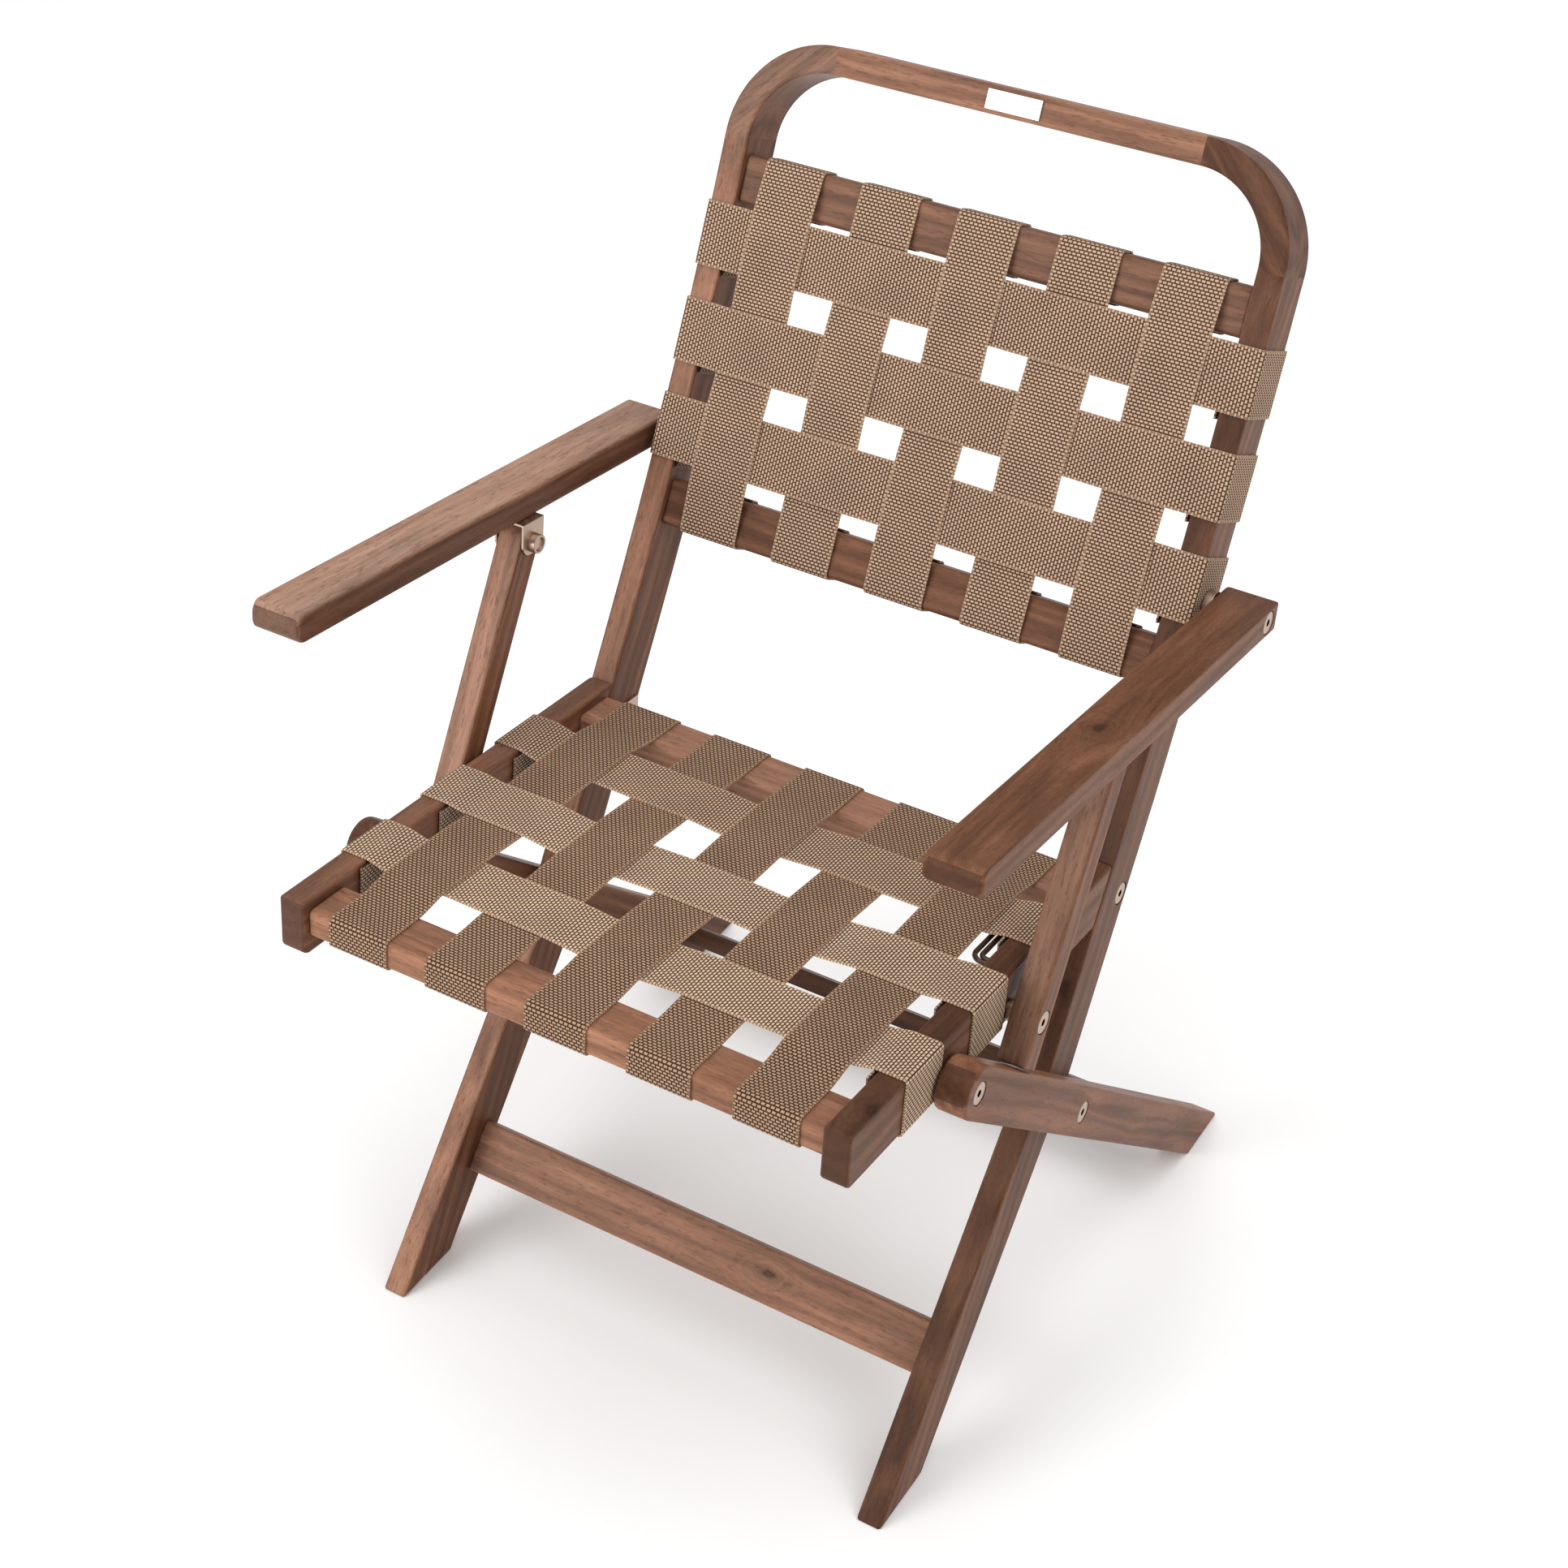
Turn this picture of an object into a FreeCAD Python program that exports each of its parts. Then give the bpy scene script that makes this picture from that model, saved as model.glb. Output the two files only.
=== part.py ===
import FreeCAD, Part
import math
import os
import Sketcher

# Folding garden armchair of wooden boards with a woven webbing seat and back.
# Millimetres, +Z up, the sitter faces -Y, left is -X as seen from the front.
# The origin lies on the floor, under the middle of the chair.

doc = FreeCAD.newDocument("folding_armchair")
sheet = doc.addObject("Spreadsheet::Sheet", "sizes")

driving = (
    ("stile_clear", 420, "clear width between the two stiles"),
    ("board", 21, "thickness of the stiles and of the seat side rails"),
    ("stile_depth", 47, "depth of a stile, seen from the side"),
    ("foot_reach", 241, "stile foot in front of the origin"),
    ("low_angle", 48, "slope of the stile below its knee, degrees"),
    ("knee_height", 242, "height of the knee, where the stile bends"),
    ("mid_angle", 58.4, "slope of the stile above the knee, degrees"),
    ("mid_length", 232.5, "straight stretch of the stile above the knee"),
    ("cross_drop", 3.8, "crossing bolt below the knee, along the stile"),
    ("cross_offset", 5, "crossing bolt in front of the middle of the stile"),
    ("back_radius", 2900, "radius of the curved upper stile"),
    ("back_arc", 391, "length of the curved upper stile, up to the corner joint"),
    ("corner_radius", 81, "outer radius of the top corners"),
    ("top_rail_height", 21, "height of the top rail and of the corner blocks"),
    ("layer_gap", 3.5, "gap between the stiles and the rear legs"),
    ("leg_thickness", 25, "thickness of a rear leg"),
    ("leg_width", 40, "width of a rear leg, seen from the side"),
    ("arm_gap", 9, "gap between a stile and its armrest"),
    ("arm_width", 42, "width of an armrest"),
    ("arm_thickness", 22.3, "thickness of an armrest"),
    ("arm_length", 465, "length of an armrest"),
    ("arm_tilt", 8, "rise of the armrests to the front, degrees"),
    ("arm_pivot_rise", 384, "arm bolt above the knee, along the stile"),
    ("arm_pivot_inset", 17, "arm bolt from the rear end of the armrest"),
    ("arm_tip_radius", 9, "rounding of the armrest's front end"),
    ("strut_gap", 6, "gap between a side rail and the arm strut"),
    ("strut_thickness", 22, "thickness of an arm strut"),
    ("strut_width", 25, "width of an arm strut, seen from the side"),
    ("strut_reach", 181, "strut's upper bolt from the arm bolt, along the armrest"),
    ("strut_drop", 18, "strut's upper bolt below the armrest"),
    ("strut_foot_gap", 2, "gap between a strut's foot and the rear leg"),
    ("seat_reach", 330, "top front corner of the side rails in front of the origin"),
    ("seat_height", 451.4, "height of that corner"),
    ("seat_tilt", 6.1, "fall of the seat to the rear, degrees"),
    ("side_rail_height", 44, "height of a side rail"),
    ("rail_nose_radius", 6, "rounded lower front corner of a side rail"),
    ("seat_rear_gap", 1.5, "gap between a side rail's end and the stile"),
    ("pivot_depth", 33, "leg and strut bolts below the top of the side rails"),
    ("leg_pivot_clear", 6.95, "leg bolt behind the front seat band"),
    ("strut_pivot_clear", 9.97, "strut bolt behind the middle seat band"),
    ("front_rail_inset", 5.5, "front rail behind the front of the side rails"),
    ("rear_rail_inset", 46.5, "front of the rear rail before the upper rear end of the side rails"),
    ("cross_rail_depth", 40, "front and rear rail, front to back"),
    ("cross_rail_height", 22, "front and rear rail, top to bottom"),
    ("cross_rail_drop", 7.5, "front and rear rail below the top of the side rails"),
    ("edge_radius", 4, "rounded edges of the rails that carry webbing"),
    ("back_rail_thickness", 20, "thickness of the two back rails"),
    ("back_rail_recess", 5, "back rails behind the front of the stiles"),
    ("upper_rail_height", 37, "height of the upper back rail"),
    ("upper_rail_drop", 31, "middle of the upper back rail below the corner joint"),
    ("lower_rail_height", 36, "height of the lower back rail"),
    ("lower_rail_drop", 289, "middle of the lower back rail below the corner joint"),
    ("strap_width", 50, "width of the webbing"),
    ("strap_thickness", 1.6, "thickness of the webbing"),
    ("strap_gap", 0.3, "slack between webbing and wood"),
    ("eyelet_room", 0.9, "gap round a bolt through the webbing, on the radius"),
    ("cross_gap", 0.9, "slack between two straps where they cross"),
    ("strap_pitch", 83, "spacing of the lengthwise straps"),
    ("back_band_drop", 77.5, "middle of the first back band below the corner joint"),
    ("back_band_pitch", 76.5, "spacing of the back bands"),
    ("seat_band_first", 0.17, "front seat band behind the front rail, share of the seat opening"),
    ("seat_band_step", 0.319, "spacing of the seat bands, share of the seat opening"),
    ("stretcher_height", 42, "width of the two stretchers"),
    ("stretcher_thickness", 16, "thickness of the two stretchers"),
    ("stretcher_radius", 2.5, "rounded edges of the stretchers"),
    ("stretcher_offset", 9, "middle of the front stretcher behind the middle of the stiles"),
    ("front_stretcher_along", 112, "front stretcher above the foot, along the stile"),
    ("rear_stretcher_along", 291, "rear stretcher below the crossing bolt, along the leg"),
    ("bolt_radius", 4, "shank of the joint bolts"),
    ("bore_clearance", 0.05, "running clearance round a bolt, on the radius"),
    ("head_radius", 8.5, "head of the joint bolts"),
    ("head_thickness", 3, "thickness of a bolt head"),
    ("head_recess", 0.5, "bolt head below the face of the wood"),
    ("head_room", 0.6, "gap round a bolt head, on the radius"),
    ("socket_radius", 2.9, "hexagon socket of a bolt head, across its corners"),
    ("socket_depth", 2, "depth of the hexagon socket"),
    ("side_gap", 0.3, "side clearance of the parts that turn"),
    ("washer_radius", 6.5, "spacer washers of the rear legs"),
    ("boss_radius", 8, "boss on the side rail behind a strut"),
    ("spacer_radius", 11, "spacer between a stile and its armrest"),
    ("plate", 2, "thickness of the bent steel plates"),
    ("bracket_length", 26, "length of a strut bracket along the armrest"),
    ("ear_radius", 9, "rounded lower end of a bracket ear"),
    ("barrel_radius", 7.5, "barrel head of a bracket bolt"),
    ("barrel_length", 6, "length of that barrel head"),
    ("rest_bolt_back", 13, "seat rest bolt behind the middle of the stile"),
    ("rest_bolt_depth", 38, "seat rest bolt below the top of the side rail"),
    ("rest_flange", 24, "height and length of a seat rest's flange"),
    ("rest_reach", 64, "tongue of a seat rest in front of its bolt"),
    ("rest_tongue", 16, "width of that tongue"),
    ("nut_radius", 7, "round nut inside a seat rest"),
    ("nut_length", 5, "length of that nut"),
    ("hook_radius", 1.8, "wire of the carrying hook"),
    ("hook_clear", 23, "carrying hook behind the middle seat band"),
    ("hook_drop", 14, "carrying hook below the top of the side rail"),
    ("hook_height", 20, "height of the carrying hook"),
    ("hook_reach", 16, "carrying hook inwards from the side rail"),
    ("badge_width", 45, "blank badge plate on the top rail"),
    ("badge_height", 15, "height of the badge plate"),
    ("badge_thickness", 1.5, "thickness of the badge plate"),
)
for row, (alias, number, note) in enumerate(driving, start=1):
    sheet.set(f"A{row}", note)
    sheet.set(f"B{row}", str(number))
    sheet.setAlias(f"B{row}", alias)
doc.recompute()


def size(alias):
    return float(sheet.get(alias))


# Side view layout: points are (y, z), angles are degrees from +Y towards +Z.
def polar(angle, distance=1.0):
    turn = math.radians(angle)
    return (distance * math.cos(turn), distance * math.sin(turn))


def add(*vectors):
    return (sum(v[0] for v in vectors), sum(v[1] for v in vectors))


def scale(vector, factor):
    return (vector[0] * factor, vector[1] * factor)


def dot(one, two):
    return one[0] * two[0] + one[1] * two[1]


def direction(start, end):
    return math.degrees(math.atan2(end[1] - start[1], end[0] - start[0]))


def meet(start, angle, other, other_angle):
    along = polar(angle)
    across = polar(other_angle + 90)
    gap = add(other, scale(start, -1))
    return add(start, scale(along, dot(gap, across) / dot(along, across)))


def line_point(start, angle, along, across=0.0):
    return add(start, polar(angle, along), polar(angle + 90, across))


half_depth = size("stile_depth") / 2
knee_run = size("knee_height") / math.tan(math.radians(size("low_angle")))
knee = (knee_run - size("foot_reach"), size("knee_height"))
crossing = line_point(knee, size("low_angle"), -size("cross_drop"), size("cross_offset"))
joint_distance = size("mid_length") + size("back_arc")
bow_start = line_point(knee, size("mid_angle"), size("mid_length"))
bow_centre = line_point(bow_start, size("mid_angle"), 0, size("back_radius"))


def stile_angle(distance):
    bowed = max(0.0, distance - size("mid_length"))
    return size("mid_angle") + math.degrees(bowed / size("back_radius"))


def stile_point(distance, front=0.0):
    if distance <= size("mid_length"):
        return line_point(knee, size("mid_angle"), distance, front)
    return add(bow_centre, polar(stile_angle(distance) - 90, size("back_radius") - front))


def seat_point(along, down=0.0):
    corner = (-size("seat_reach"), size("seat_height"))
    return line_point(corner, -size("seat_tilt"), along, -down)


rest_bolt = meet(seat_point(0, size("rest_bolt_depth")), -size("seat_tilt"),
                 stile_point(0, -size("rest_bolt_back")), size("mid_angle"))
stile_face = stile_point(0, half_depth + size("seat_rear_gap"))
rail_top_end = meet(seat_point(0), -size("seat_tilt"), stile_face, size("mid_angle"))


def seat_along(point):
    return dot(add(point, scale(seat_point(0), -1)), polar(-size("seat_tilt")))


# Seat bands are counted from the rear, and the bolts stand in the gaps between them.
strap_count = 5
band_count = 3
front_edge = size("front_rail_inset")
front_rail_rear = front_edge + size("cross_rail_depth")
rear_rail_along = seat_along(rail_top_end) - size("rear_rail_inset")
seat_opening = rear_rail_along - front_rail_rear
seat_bands = [front_rail_rear + seat_opening * (size("seat_band_first") + number * size("seat_band_step"))
              for number in reversed(range(band_count))]


def behind_band(band, clearance):
    return seat_bands[band] + size("strap_width") / 2 + clearance


leg_bolt = seat_point(behind_band(2, size("leg_pivot_clear")), size("pivot_depth"))
strut_bolt = seat_point(behind_band(1, size("strut_pivot_clear")), size("pivot_depth"))
hook_along = behind_band(1, size("hook_clear"))
arm_bolt = stile_point(size("arm_pivot_rise"))
arm_angle = 180 - size("arm_tilt")
half_arm = size("arm_thickness") / 2


def arm_point(along, up=0.0):
    return line_point(arm_bolt, arm_angle, along, -up)


bracket_bolt = arm_point(size("strut_reach"), -half_arm - size("strut_drop"))
leg_angle = direction(leg_bolt, crossing)
strut_angle = direction(strut_bolt, bracket_bolt)

# Lateral layout: faces on the right side, mirrored on the left.
stile_inner = size("stile_clear") / 2
stile_outer = stile_inner + size("board")
leg_inner = stile_outer + size("layer_gap")
leg_outer = leg_inner + size("leg_thickness")
arm_inner = stile_outer + size("arm_gap")
arm_outer = arm_inner + size("arm_width")
strut_inner = stile_outer + size("strut_gap")
strut_outer = strut_inner + size("strut_thickness")
ear_inner = strut_inner - size("side_gap") - size("plate")
ear_outer = strut_outer + size("side_gap") + size("plate")
webbing = size("strap_gap") + size("strap_thickness") / 2
weave = (size("strap_thickness") + size("cross_gap")) / 2
bore = "sizes.bolt_radius + sizes.bore_clearance"
sides = (("left", -1), ("right", 1))


def vector(point):
    return FreeCAD.Vector(point[0], point[1], 0)


def rounded(corners, radii):
    # Closed outline through the corners, each rounded by its own radius.
    ends = []
    for index, corner in enumerate(corners):
        before = corners[index - 1]
        after = corners[(index + 1) % len(corners)]
        arrive = direction(before, corner)
        leave = direction(corner, after)
        turn = math.radians((leave - arrive + 180) % 360 - 180)
        setback = radii[index] * abs(math.tan(turn / 2))
        start = line_point(corner, arrive, -setback)
        end = line_point(corner, leave, setback)
        bulge = radii[index] * (1 / math.cos(turn / 2) - 1)
        inward = arrive + math.degrees(turn / 2) + math.copysign(90, turn)
        ends.append((start, line_point(corner, inward, bulge), end, radii[index] > 0))
    edges = []
    for index, (start, middle, end, is_round) in enumerate(ends):
        if is_round:
            edges.append(Part.ArcOfCircle(vector(start), vector(middle), vector(end)))
        edges.append(Part.LineSegment(vector(end), vector(ends[(index + 1) % len(ends)][0])))
    return edges


def polygon(corners, radius=0.0):
    return rounded(corners, [radius] * len(corners))


def rectangle(centre, angle, length, width):
    reach = ((-length, -width), (length, -width), (length, width), (-length, width))
    return [line_point(centre, angle, along / 2, across / 2) for along, across in reach]


def ribbon(path, radii):
    # Closed outline of a strap of even thickness along a path of straight runs.
    half = size("strap_thickness") / 2
    sides_of_path = {1: [], -1: []}
    for index, point in enumerate(path):
        arrive = direction(path[max(index - 1, 0)], path[max(index, 1)])
        last = len(path) - 1
        leave = direction(path[min(index, last - 1)], path[min(index + 1, last)])
        turn = (leave - arrive + 180) % 360 - 180
        mitre = half / math.cos(math.radians(turn / 2))
        for side in sides_of_path:
            corner = line_point(point, arrive + turn / 2, 0, side * mitre)
            radius = radii[index] - side * math.copysign(half, turn) if radii[index] else 0.0
            sides_of_path[side].append((corner, radius))
    outline = sides_of_path[1] + sides_of_path[-1][::-1]
    return rounded([corner for corner, radius in outline], [radius for corner, radius in outline])


def origin_plane(body, role):
    return next(plane for plane in body.Origin.OriginFeatures if plane.Role == role)


def add_sketch(body, name, role, edges, lift=0.0):
    sketch = body.newObject("Sketcher::SketchObject", name)
    sketch.AttachmentSupport = [(origin_plane(body, role), "")]
    sketch.MapMode = "FlatFace"
    sketch.AttachmentOffset = FreeCAD.Placement(FreeCAD.Vector(0, 0, lift), FreeCAD.Rotation())
    for edge in edges:
        sketch.addGeometry(edge, False)
    return sketch


def add_circle(sketch, centre, radius_rule):
    radius = float(sheet.evalExpression(radius_rule))
    circle = Part.Circle(vector(centre), FreeCAD.Vector(0, 0, 1), radius)
    number = sketch.addGeometry(circle, False)
    rule = sketch.addConstraint(Sketcher.Constraint("Radius", number, radius))
    sketch.setExpression(f"Constraints[{rule}]", radius_rule)


def add_pad(body, sketch, length_rule):
    pad = body.newObject("PartDesign::Pad", sketch.Name + "_pad")
    pad.Profile = sketch
    pad.setExpression("Length", length_rule)
    sketch.Visibility = False
    return pad


def new_body(label):
    body = doc.addObject("PartDesign::Body", label)
    body.Label = label
    return body


def board(label, edges, start, thickness_rule, bores=()):
    # A board cut to an outline in the side view, from x = start towards +X.
    body = new_body(label)
    sketch = add_sketch(body, label + "_outline", "YZ_Plane", edges)
    for centre, radius_rule in bores:
        add_circle(sketch, centre, radius_rule)
    add_pad(body, sketch, thickness_rule)
    body.Placement = FreeCAD.Placement(FreeCAD.Vector(start, 0, 0), FreeCAD.Rotation())
    return body


def side_start(side, inner, outer):
    return inner if side > 0 else -outer


def recess_head(body, label, side, centre, thickness):
    # Flat-bottomed recess for a bolt head in the outer face of a board.
    doc.recompute()
    volume = body.Shape.Volume
    sketch = add_sketch(body, label, "YZ_Plane", (), thickness if side > 0 else 0.0)
    add_circle(sketch, centre, "sizes.head_radius + sizes.head_room")
    pocket = body.newObject("PartDesign::Pocket", label + "_pocket")
    pocket.Profile = sketch
    pocket.Reversed = side < 0
    pocket.setExpression("Length", "sizes.head_thickness + sizes.head_recess + sizes.side_gap")
    doc.recompute()
    if body.Shape.Volume >= volume:
        raise RuntimeError(f"{label} cuts nothing")


def rod(label, radius_rule, side, inner, outer, centre):
    # A round bar along X between two distances from the middle of the chair.
    bar = doc.addObject("Part::Cylinder", label)
    bar.setExpression("Radius", radius_rule)
    bar.Height = outer - inner
    start = FreeCAD.Vector(side_start(side, inner, outer), centre[0], centre[1])
    bar.Placement = FreeCAD.Placement(start, FreeCAD.Rotation(FreeCAD.Vector(0, 1, 0), 90))
    return bar


def fuse(label, pieces):
    joined = doc.addObject("Part::MultiFuse", label)
    joined.Shapes = pieces
    return joined


def cut(label, base, tool):
    rest = doc.addObject("Part::Cut", label)
    rest.Base = base
    rest.Tool = tool
    return rest


def group(label, pieces):
    pair = doc.addObject("Part::Compound", label)
    pair.Links = pieces
    return pair


def headed_bolt(label, side, inner, face, centre, extra=()):
    # Flat-headed bolt, its head sunk below the face of the wood, with a hexagon socket.
    top = face - size("head_recess")
    shank = rod(label + "_shank", "sizes.bolt_radius", side, inner, top, centre)
    head = rod(label + "_head", "sizes.head_radius", side, top - size("head_thickness"), top, centre)
    solid = fuse(label + "_solid", [shank, head, *extra])
    socket = doc.addObject("Part::Prism", label + "_socket")
    socket.Polygon = 6
    socket.setExpression("Circumradius", "sizes.socket_radius")
    socket.setExpression("Height", "sizes.socket_depth")
    start = FreeCAD.Vector(side_start(side, top - size("socket_depth"), top), centre[0], centre[1])
    socket.Placement = FreeCAD.Placement(start, FreeCAD.Rotation(FreeCAD.Vector(0, 1, 0), 90))
    return cut(label, solid, socket)


def ring(label, radius_rule, side, inner, outer, centre):
    # A spacer that a bolt passes through.
    disc = rod(label + "_disc", radius_rule, side, inner, outer, centre)
    return cut(label, disc, rod(label + "_bore", bore, side, inner, outer, centre))


nodes = {}


def keep(label, piece):
    piece.Label = label
    nodes[label] = piece


# Stiles: straight foot, bend at the knee, straight stretch, then a slow bow.
def stile_outline():
    bend = (size("mid_angle") - size("low_angle")) / 2
    mitre = half_depth / math.cos(math.radians(bend))
    fronts = []
    for side in (1, -1):
        bent = line_point(knee, size("low_angle") + bend, 0, side * mitre)
        foot = meet(bent, size("low_angle"), (0, 0), 0)
        fronts.append((foot, bent, stile_point(size("mid_length"), side * half_depth)))
    middle = size("mid_length") + size("back_arc") / 2
    edges = []
    for (foot, bent, start), side in zip(fronts, (1, -1)):
        front = side * half_depth
        edges.append(Part.LineSegment(vector(foot), vector(bent)))
        edges.append(Part.LineSegment(vector(bent), vector(start)))
        bow = (start, stile_point(middle, front), stile_point(joint_distance, front))
        edges.append(Part.ArcOfCircle(*[vector(point) for point in bow]))
    tops = [stile_point(joint_distance, side * half_depth) for side in (1, -1)]
    edges.append(Part.LineSegment(vector(tops[0]), vector(tops[1])))
    edges.append(Part.LineSegment(vector(fronts[0][0]), vector(fronts[1][0])))
    return edges


for name, side in sides:
    bolts = [(point, bore) for point in (crossing, arm_bolt, rest_bolt)]
    start = side_start(side, stile_inner, stile_outer)
    stile = board(f"{name}_stile", stile_outline(), start, "sizes.board", bolts)
    recess_head(stile, f"{name}_rest_recess", side, rest_bolt, size("board"))
    keep(f"{name}_stile", stile)

# Top corners and top rail, in the plane of the stile tops.
joint_angle = stile_angle(joint_distance)
joint_rear = stile_point(joint_distance, -half_depth)
top_turn = FreeCAD.Rotation(FreeCAD.Vector(1, 0, 0), joint_angle)
top_frame = FreeCAD.Placement(FreeCAD.Vector(0, *joint_rear), top_turn)
corner_centre = stile_outer - size("corner_radius")
corner_inner = size("corner_radius") - size("top_rail_height")


def corner_outline(side):
    spans = []
    for radius in (size("corner_radius"), corner_inner):
        points = []
        for turn in (0, 45, 90):
            across, up = polar(turn, radius)
            points.append(vector((side * (corner_centre + across), up)))
        spans.append(points)
    outer, inner = spans
    return [Part.ArcOfCircle(*outer), Part.LineSegment(outer[2], inner[2]),
            Part.ArcOfCircle(*inner), Part.LineSegment(inner[0], outer[0])]


for name, side in sides:
    block = new_body(f"{name}_corner")
    arch = add_sketch(block, f"{name}_corner_outline", "XY_Plane", corner_outline(side))
    add_pad(block, arch, "sizes.stile_depth")
    block.Placement = top_frame
    keep(f"{name}_corner", block)

rail_middle = (0, (size("corner_radius") + corner_inner) / 2)
top_rail = new_body("top_rail")
rail_edges = polygon(rectangle(rail_middle, 0, 2 * corner_centre, size("top_rail_height")))
add_pad(top_rail, add_sketch(top_rail, "top_rail_outline", "XY_Plane", rail_edges), "sizes.stile_depth")
top_rail.Placement = top_frame
keep("top_rail", top_rail)

badge = new_body("badge_plate")
badge_edges = polygon(rectangle(rail_middle, 0, size("badge_width"), size("badge_height")))
badge_sketch = add_sketch(badge, "badge_outline", "XY_Plane", badge_edges, size("stile_depth"))
add_pad(badge, badge_sketch, "sizes.badge_thickness")
badge.Placement = top_frame
keep("badge_plate", badge)

# Back rails between the stiles.
rail_offset = half_depth - size("back_rail_recess") - size("back_rail_thickness") / 2


def back_rail(label, drop, height):
    distance = joint_distance - drop
    centre = stile_point(distance, rail_offset)
    angle = stile_angle(distance)
    corners = rectangle(centre, angle, height, size("back_rail_thickness"))
    keep(label, board(label, polygon(corners, size("edge_radius")), -stile_inner, "sizes.stile_clear"))
    return centre, angle, height / 2 + webbing


upper_rail = back_rail("upper_back_rail", size("upper_rail_drop"), size("upper_rail_height"))
lower_rail = back_rail("lower_back_rail", size("lower_rail_drop"), size("lower_rail_height"))

# Stretchers between the feet.
foot = (-size("foot_reach"), 0)
front_middle = line_point(
    foot, size("low_angle"), size("front_stretcher_along"), -size("stretcher_offset"))
front_corners = rectangle(
    front_middle, size("low_angle"), size("stretcher_height"), size("stretcher_thickness"))
front_edges = polygon(front_corners, size("stretcher_radius"))
keep("front_stretcher", board("front_stretcher", front_edges, -stile_inner, "sizes.stile_clear"))

rear_middle = line_point(crossing, leg_angle, size("rear_stretcher_along"))
rear_corners = rectangle(
    rear_middle, leg_angle, size("stretcher_height"), size("stretcher_thickness"))
rear_edges = polygon(rear_corners, size("stretcher_radius"))
rear_length = "sizes.stile_clear + 2 * (sizes.board + sizes.layer_gap)"
keep("rear_stretcher", board("rear_stretcher", rear_edges, -leg_inner, rear_length))

# Rear legs: round head on the seat, square foot on the floor.
half_leg = size("leg_width") / 2


def leg_outline():
    top = line_point(leg_bolt, leg_angle, 0, half_leg)
    under = line_point(leg_bolt, leg_angle, 0, -half_leg)
    crown = line_point(leg_bolt, leg_angle, -half_leg)
    top_foot = meet(top, leg_angle, (0, 0), 0)
    under_foot = meet(under, leg_angle, (0, 0), 0)
    return [Part.ArcOfCircle(vector(under), vector(crown), vector(top)),
            Part.LineSegment(vector(top), vector(top_foot)),
            Part.LineSegment(vector(top_foot), vector(under_foot)),
            Part.LineSegment(vector(under_foot), vector(under))]


for name, side in sides:
    start = side_start(side, leg_inner, leg_outer)
    bolts = [(leg_bolt, bore), (crossing, bore)]
    leg = board(f"{name}_rear_leg", leg_outline(), start, "sizes.leg_thickness", bolts)
    recess_head(leg, f"{name}_leg_recess", side, leg_bolt, size("leg_thickness"))
    recess_head(leg, f"{name}_crossing_recess", side, crossing, size("leg_thickness"))
    keep(f"{name}_rear_leg", leg)

# Seat frame.
rail_low_front = seat_point(0, size("side_rail_height"))
rail_low_end = meet(rail_low_front, -size("seat_tilt"), stile_face, size("mid_angle"))
side_rail_corners = [seat_point(0), rail_top_end, rail_low_end, rail_low_front]
side_rail_edges = rounded(side_rail_corners, [0, 0, 0, size("rail_nose_radius")])
for name, side in sides:
    start = side_start(side, stile_inner, stile_outer)
    bolts = [(leg_bolt, bore), (strut_bolt, bore)]
    side_rail = board(f"{name}_side_rail", side_rail_edges, start, "sizes.board", bolts)
    keep(f"{name}_side_rail", side_rail)

cross_rail_middle = size("cross_rail_drop") + size("cross_rail_height") / 2
for label, along in (("front_rail", size("front_rail_inset")), ("rear_rail", rear_rail_along)):
    centre = seat_point(along + size("cross_rail_depth") / 2, cross_rail_middle)
    corners = rectangle(centre, -size("seat_tilt"), size("cross_rail_depth"), size("cross_rail_height"))
    keep(label, board(label, polygon(corners, size("edge_radius")), -stile_inner, "sizes.stile_clear"))

# Webbing: five lengthwise straps and three bands each for the back and the seat.
strap_places = [(number - (strap_count - 1) / 2) * size("strap_pitch") for number in range(strap_count)]
cross_half = size("strap_width") / 2 + 2 * size("strap_thickness")
corner_bend = size("edge_radius") + webbing


def strap_side(strap, band):
    return 1 if (strap + band) % 2 == 0 else -1


def lengthwise_strap(label, place, path, radii):
    start = place - size("strap_width") / 2
    keep(label, board(label, ribbon(path, radii), start, "sizes.strap_width"))


def back_wrap(rail, upwards):
    centre, angle, high = rail
    deep = size("back_rail_thickness") / 2 + webbing
    high = high if upwards else -high
    places = ((-high, 0), (-high, -deep), (high, -deep), (high, deep))
    return [line_point(centre, angle, along, front) for along, front in places]


lower_wrap = back_wrap(lower_rail, False)
upper_wrap = back_wrap(upper_rail, True)[::-1]
back_run = direction(lower_wrap[3], upper_wrap[0])
wrap_bends = [0, corner_bend, corner_bend, corner_bend]
band_drops = [size("back_band_drop") + number * size("back_band_pitch") for number in range(band_count)]


def run_reach(drop):
    gap = add(stile_point(joint_distance - drop), scale(lower_wrap[3], -1))
    return dot(gap, polar(back_run))


for strap, place in enumerate(strap_places):
    path = list(lower_wrap)
    for band in reversed(range(band_count)):
        reach = run_reach(band_drops[band])
        for step in (-cross_half, cross_half):
            front = strap_side(strap, band) * weave
            path.append(line_point(lower_wrap[3], back_run, reach + step, front))
    path += upper_wrap
    flat = [0] * (len(path) - 2 * len(wrap_bends))
    lengthwise_strap(f"back_strap_{strap + 1}", place, path, wrap_bends + flat + wrap_bends[::-1])


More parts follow.
